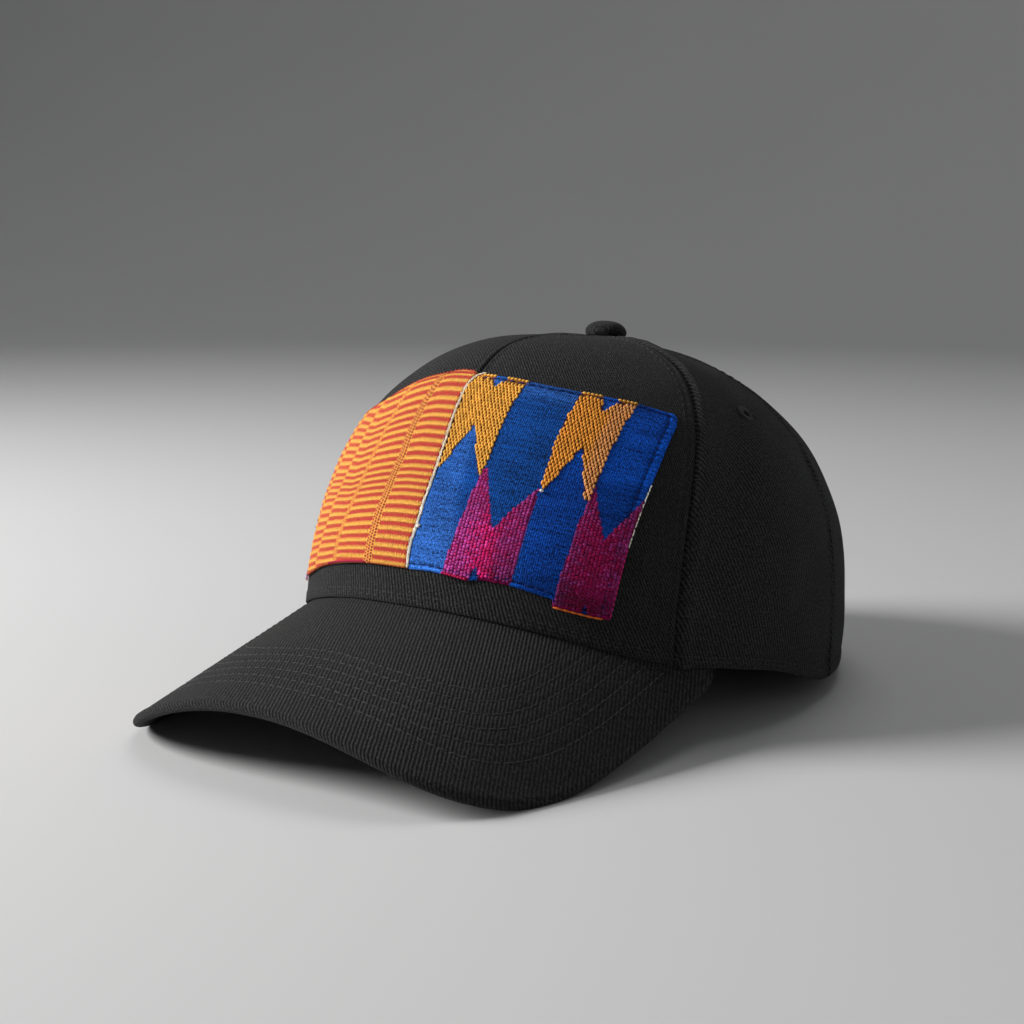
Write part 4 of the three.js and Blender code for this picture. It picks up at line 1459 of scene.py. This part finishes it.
def lattice(polygons, pitch, stagger, loose, seed):
    """Places inside the motifs and inside the patch's hems."""
    step_w, step_h = pitch
    columns = np.arange(-2, int(70 / step_w) + 1)
    rows = np.arange(int(6 / step_h), int(82 / step_h))
    i, j = np.meshgrid(columns, rows)
    w = i.ravel() * step_w
    h = (j.ravel() + stagger * (i.ravel() % 2)) * step_h
    spot_rng = np.random.default_rng(seed)
    w = w + spot_rng.uniform(-loose, loose, len(w))
    h = h + spot_rng.uniform(-loose, loose, len(h)) * 1.3
    keep = inside(polygons, w, h)
    keep &= (h > table_edge(BOTTOM_EDGE, w) + 0.9) & (h < table_edge(TOP_EDGE, w) - 2.3)
    keep &= (w > table_edge(JOIN, h) + 0.8) & (w < table_edge(RIGHT_EDGE, h) - 0.4)
    return w[keep], h[keep]


def floats(path_w, path_h, half_width, half_height, lift):
    """Raised floats of yarn along short paths on the patch."""
    centre = on_cloth(path_w, path_h, CLOTH_TOP + lift + GRAIN_RISE * half_height)
    normal = cloth_normal(path_w, path_h)
    return spindles(centre, normal, GRAIN_SHAPE * half_width, GRAIN_SHAPE * half_height, FLOAT_SIDES)


def upright_floats(w, h, half_length, half_width, half_height, lean, lift):
    along = np.linspace(-1, 1, len(GRAIN_SHAPE)) * half_length
    return floats(w[:, None] + along * lean, h[:, None] + along, half_width, half_height, lift)


def hem_floats():
    """Floats that lie along the patch's folded top edge where the yellow motifs reach it."""
    w = np.arange(1.5, 54, HEM_FLOAT["pitch"])
    top = table_edge(TOP_EDGE, w)
    keep = inside(YELLOW_MOTIFS, w, top - 1.0) & (w > 3.4)
    path_w = w[keep][:, None] + np.linspace(-1, 1, len(GRAIN_SHAPE)) * HEM_FLOAT["half_length"]
    path_h = np.broadcast_to(top[keep][:, None] - HEM_FLOAT["below_top"], path_w.shape)
    return floats(path_w, path_h, HEM_FLOAT["half_width"], HEM_FLOAT["half_height"], 0.0)


def float_piece(name, mesh, colours, seed, spread):
    """Floats with a colour each, every one a little lighter or darker."""
    tints = 1 + np.random.default_rng(seed).uniform(-spread, spread, (len(colours), 1))
    vertex_colours = np.repeat(colours * tints, FLOAT_POINTS, axis=0)
    make_piece(name, *mesh, YARN, "zigzag_kente", colour=vertex_colours)


def yellow_floats():
    """Yellow floats, the second motif's in amber, with pinkish ones at its right."""
    w, h = lattice(YELLOW_MOTIFS, **YELLOW_LATTICE)
    second = smoothstep((w - 20) / 10)[:, None]
    colours = YELLOW * (1 - second) + AMBER * second
    pinkish = 0.8 * (smoothstep((w - 45) / 3) * smoothstep((ripple(w, h, 13, 33) + 0.9) / 0.8))[:, None]
    colours = colours * (1 - pinkish) + PEACH * pinkish
    hem = hem_floats()
    hem_colours = np.tile(YELLOW, (len(hem[0]) // FLOAT_POINTS, 1))
    mesh = merged([upright_floats(w, h, **YELLOW_FLOAT), hem])
    float_piece("kente_yellow_floats", mesh, np.concatenate([colours, hem_colours]), 34, 0.2)


def magenta_floats():
    """Magenta floats that mix crimson and orchid, lit low on the left and darker low between the motifs."""
    w, h = lattice(MAGENTA_MOTIFS, **MAGENTA_LATTICE)
    between_notches = hill(w, 25.5, 4.5) + hill(w, 57, 6)
    streaks = np.random.default_rng(38).uniform(-0.55, 0.55, len(w))
    mixture = np.clip(between_notches + streaks + 0.2 * ripple(w, h, 9, 36), 0, 1)[:, None]
    lit = 0.5 * (1 - smoothstep((w - 25) / 5)) * (1 - smoothstep((h - 26) / 8))
    shade = 0.86 + lit - 0.16 * smoothstep((w - 44) / 4) - 0.4 * hill(h, 12, 5) * smoothstep((w - 26) / 4)
    shade = shade * (1 + 0.5 * smoothstep((streaks + 0.55) / -0.3 + 1))
    colours = (CRIMSON * mixture + ORCHID * (1 - mixture)) * shade[:, None]
    float_piece("kente_magenta_floats", upright_floats(w, h, **MAGENTA_FLOAT), colours, 37, 0.3)


yellow_floats()
magenta_floats()


def thread_run(w, h, lift, length, gap, radius, colour, jitter=0.1):
    """A row of coloured stitches or selvage threads along a line on the patch: points, faces and dyes."""
    path = on_cloth(w, h, CLOTH_TOP + lift)
    points, faces = stitch_row(path, cloth_normal(w, h), length, gap, radius, jitter)
    return points, faces, np.tile(colour, (len(points), 1))


# The join's selvage is a flat woven edge with a few thin strands and many hairs on it.
SELVAGE = {
    "from": 11.2, "to": 78.0, "half_width": 0.36, "wider_below": 0.12, "half_height": 0.2, "uneven": 0.14,
}
SELVAGE_SIDES = 8
# The strands' places across, lift and radius.
SELVAGE_STRANDS = [(-0.2, 0.16, 0.1), (0.16, 0.16, 0.1)]
SELVAGE_HAIRS = 360
# The tuft's hairs, by how far they reach across and up.
TUFT = [(1.7, 0.5), (1.4, -0.3), (1.0, 0.9)]
BROWN = linear(176, 84, 44)
# Rows of thread along the patch's edges, in the order in which they are sewn.
EDGE_THREADS = [
    # edge, from, to, points, beyond the edge, lift, length, gap, radius, colour, jitter
    (RIGHT_EDGE, 31.6, 52.4, 80, 0.0, -0.15, 1.2, 0.0, 0.14, CREAM, 0.35),
    (RIGHT_EDGE, 31.6, 52.4, 80, -0.2, -0.15, 1.2, 0.0, 0.11, CREAM, 0.35),
    (RIGHT_EDGE, 10, 31.4, 120, -0.3, -0.1, 1.6, 0.0, 0.22, MAGENTA * 1.3, 0.1),
    (RIGHT_EDGE, 12, 76, 240, -3.0, -0.12, 1.5, 0.7, 0.2, DEEP_BLUE * 0.6, 0.1),
    (TOP_EDGE, 3.6, 64.6, 300, -1.7, -0.2, 2.3, 0.7, 0.2, DEEP_BLUE, 0.1),
    (BOTTOM_EDGE, 1.5, 47.0, 260, 1.6, -0.2, 2.3, 0.7, 0.2, DEEP_BLUE, 0.1),
    (BOTTOM_EDGE, 13.0, 21.2, 50, 0.35, 0.0, 1.0, -0.1, 0.4, linear(206, 32, 92), 0.1),
    (BOTTOM_EDGE, -38, -16.5, 120, 0.35, -0.15, 1.4, -0.1, 0.4, linear(196, 50, 84), 0.1),
    (BOTTOM_EDGE, -64, -38, 120, 0.15, -0.3, 1.6, -0.1, 0.26, BROWN, 0.1),
    (BOTTOM_EDGE, -16, 0.2, 120, 0.15, -0.3, 1.6, -0.1, 0.26, BROWN, 0.1),
    (TOP_EDGE, -64, -0.4, 300, -0.2, -0.3, 1.6, -0.1, 0.28, linear(192, 70, 56), 0.1),
    (BOTTOM_EDGE, 47.9, 63.0, 60, -0.1, -0.4, 3.2, -0.9, 0.34, linear(228, 112, 48), 0.1),
]


def selvage():
    """The flat edge at the join, cream below and peach above, with its strands, hairs and tuft."""
    up = np.linspace(SELVAGE["from"], SELVAGE["to"], 300)
    core = table_edge(JOIN, up) + 0.12 * ripple(up, up * 0, 4, 49)
    low_part = 1 - smoothstep((up - 30) / 28)
    half_width = SELVAGE["half_width"] + SELVAGE["wider_below"] * low_part
    half_width = half_width + SELVAGE["uneven"] * ripple(up, up * 0, 2.2, 48)
    half_width = half_width * smoothstep((up - 11) / 1.2) * smoothstep((78.2 - up) / 1.5) + 0.02
    half_height = np.full_like(up, SELVAGE["half_height"])
    path, normal = on_cloth(core, up, CLOTH_TOP + 0.02)[None], cloth_normal(core, up)[None]
    whiter = np.repeat(low_part, SELVAGE_SIDES)[:, None]
    flat = spindles(path, normal, half_width, half_height, SELVAGE_SIDES)
    runs = [(*flat, CREAM * whiter + PALE_PEACH * (1 - whiter))]
    for k, (shift, lift, radius) in enumerate(SELVAGE_STRANDS):
        uneven = 0.16 * ripple(up, up * 0, 3, 50 + k)
        runs.append(thread_run(core + shift + uneven, up, lift, 1.6, -0.5, radius, CREAM, 0.35))
    hair_rng = np.random.default_rng(62)
    hair = np.linspace(0, 1, 4)
    for h in hair_rng.uniform(11.5, 77, SELVAGE_HAIRS):
        reach, rise = hair_rng.uniform(-0.75, 0.75), hair_rng.uniform(-0.8, 0.8)
        root = table_edge(JOIN, h) + hair_rng.uniform(-0.4, 0.4)
        lift = hair_rng.uniform(0.1, 0.4)
        runs.append(thread_run(root + reach * hair, h + rise * hair, lift, 0.8, 0.0, 0.06, CREAM))
    tuft = np.linspace(0, 1, 8)
    for reach, rise in TUFT:
        runs.append(thread_run(0.7 + reach * tuft, 24 + rise * tuft, 0.3, 1.6, 0.0, 0.2, CREAM))
    return runs


def patch_trim():
    """Selvages, hem stitches and the orange edge that shows under the zigzag half."""
    runs = selvage()
    for edge, first, last, count, beyond, lift, *thread in EDGE_THREADS:
        along = np.linspace(first, last, count)
        place = table_edge(edge, along) + beyond
        w, h = (place, along) if edge is RIGHT_EDGE else (along, place)
        runs.append(thread_run(w, h, lift, *thread))
    knot = np.linspace(36.1, 37.0, 6)
    runs.append(thread_run(knot, np.full_like(knot, 41.5), 0.3, 1.0, 0.0, 0.5, CREAM))
    mesh = merged([run[:2] for run in runs])
    vertex_colours = np.concatenate([run[2] for run in runs])
    make_piece("kente_trim", *mesh, YARN, "zigzag_kente", colour=vertex_colours)


patch_trim()

FRINGE = {"threads": 190, "in_corner": 60, "radius": 0.13, "sides": 5, "points": 5}
FRINGE_COLOURS = np.array([
    linear(96, 84, 170), linear(210, 110, 120), linear(60, 80, 160), linear(236, 150, 70),
])


def fringe():
    """Short loose threads along the striped half's outer edge and at its lower corner."""
    count, in_corner = FRINGE["threads"], FRINGE["in_corner"]
    fringe_rng = np.random.default_rng(61)
    h = np.sort(fringe_rng.uniform(9.5, 67, count))
    h[:in_corner] = fringe_rng.uniform(7.8, 10.6, in_corner)
    length = fringe_rng.uniform(0.9, 2.4, count)[:, None]
    droop = fringe_rng.uniform(-0.9, 0.3, count)[:, None]
    along = np.linspace(0, 1, FRINGE["points"])
    w = table_edge(LEFT_EDGE, h)[:, None] + 0.5 - along * length
    height = h[:, None] + droop * along**1.5 * length * 0.5
    lift = CLOTH_TOP - 0.45 + fringe_rng.uniform(-0.2, 0.5, count)[:, None] * along
    radius = np.full(FRINGE["points"], FRINGE["radius"])
    mesh = spindles(on_cloth(w, height, lift), cloth_normal(w, height), radius, radius, FRINGE["sides"])
    picked = FRINGE_COLOURS[fringe_rng.integers(0, len(FRINGE_COLOURS), count)]
    vertex_colours = np.repeat(picked, FRINGE["points"] * FRINGE["sides"], axis=0)
    make_piece("kente_fringe", *mesh, YARN, "striped_kente", colour=vertex_colours)


fringe()

# Stage, lights and camera

FLOOR_GREY = (0.66, 0.66, 0.655)
FLOOR_LIGHT_GREY = (0.7, 0.7, 0.695)
FLOOR = {"level_to": 1.8, "curve": 1.2, "curve_steps": 12, "wall_top": 2.2, "sides": 96}


def stage():
    """A pale floor that curves up far from the object, seen from every side."""
    profile = [(0.6, 0.0), (1.2, 0.0), (FLOOR["level_to"], 0.0)]
    for a in math.pi / 2 * np.arange(1, FLOOR["curve_steps"] + 1) / FLOOR["curve_steps"]:
        out, up = FLOOR["curve"] * math.sin(a), FLOOR["curve"] * (1 - math.cos(a))
        profile.append((FLOOR["level_to"] + out, up))
    profile.append((FLOOR["level_to"] + FLOOR["curve"], FLOOR["wall_top"]))
    sides = FLOOR["sides"]
    turn = 2 * np.pi * np.arange(sides) / sides
    points = [(0.0, 0.0, 0.0)]
    for radius, height in profile:
        points += [(radius * math.cos(a), radius * math.sin(a), height) for a in turn]
    faces = [[0, 1 + i, 1 + (i + 1) % sides] for i in range(sides)]
    faces += (grid_faces(sides, len(profile) - 1, closed=True) + 1)[:, ::-1].tolist()
    mesh = bpy.data.meshes.new("floor")
    mesh.from_pydata(points, [], faces)
    mesh.polygons.foreach_set("use_smooth", [True] * len(mesh.polygons))
    m = Shader("pale floor", 0.85)
    mesh.materials.append(m.finish(m.mix(m.fibres(2.0, 2, 0.5), FLOOR_GREY, FLOOR_LIGHT_GREY)))
    floor = bpy.data.objects.new("floor", mesh)
    bpy.context.scene.collection.objects.link(floor)


stage()

# Where the soft lights point.
AIM = np.array([0.0, 0.0, 0.05])
# The soft lights: place and size in metres, and power.
LIGHTS = {
    "key": {"place": (-0.95, -0.7, 0.68), "size": 0.6, "power": 22},
    "fill": {"place": (1.2, -0.9, 0.7), "size": 1.2, "power": 0.7},
    "top": {"place": (-0.2, 0.5, 1.4), "size": 1.0, "power": 4},
}
WORLD_COLOUR = (0.8, 0.82, 0.85, 1)
WORLD_STRENGTH = 0.12


def soft_light(name, place, size, power):
    light = bpy.data.lights.new(name, "AREA")
    light.shape = "DISK"
    light.size = size
    light.energy = power
    lamp = bpy.data.objects.new(name, light)
    back = unit(np.array(place) - AIM)
    side = unit(np.cross([0, 0, 1], back))
    axes = Matrix(np.stack([side, np.cross(back, side), back], 1).tolist())
    lamp.matrix_world = Matrix.Translation(place) @ axes.to_4x4()
    bpy.context.scene.collection.objects.link(lamp)


for name, light in LIGHTS.items():
    soft_light(name, **light)

world = bpy.data.worlds.new("studio")
bpy.context.scene.world = world
world.use_nodes = True
background = world.node_tree.nodes["Background"]
background.inputs[0].default_value = WORLD_COLOUR
background.inputs[1].default_value = WORLD_STRENGTH
bpy.context.scene.view_settings.view_transform = "Standard"

CAMERA_PLACE = np.array([329.567, -476.319, 152.600]) * MILLIMETRE
CAMERA_RIGHT = np.array([0.8151560, 0.5792414, 0.0003649])
CAMERA_BACK = np.array([0.5718317, -0.8048286, 0.1589320])
FOCAL_PIXELS = 1780.684
PICTURE_PIXELS = 1024
SENSOR = 36.0
ROLL = 0.1852960


def camera():
    data = bpy.data.cameras.new("camera")
    data.sensor_width = SENSOR
    data.lens = FOCAL_PIXELS / PICTURE_PIXELS * SENSOR
    data.clip_start = 0.01
    data.clip_end = 50
    lens = bpy.data.objects.new("camera", data)
    up = np.cross(CAMERA_BACK, CAMERA_RIGHT)
    axes = Matrix([[CAMERA_RIGHT[k], up[k], CAMERA_BACK[k]] for k in range(3)])
    turned = axes @ Matrix.Rotation(math.radians(ROLL), 3, "Z")
    lens.matrix_world = Matrix.Translation(CAMERA_PLACE.tolist()) @ turned.to_4x4()
    bpy.context.scene.collection.objects.link(lens)
    bpy.context.scene.camera = lens


camera()
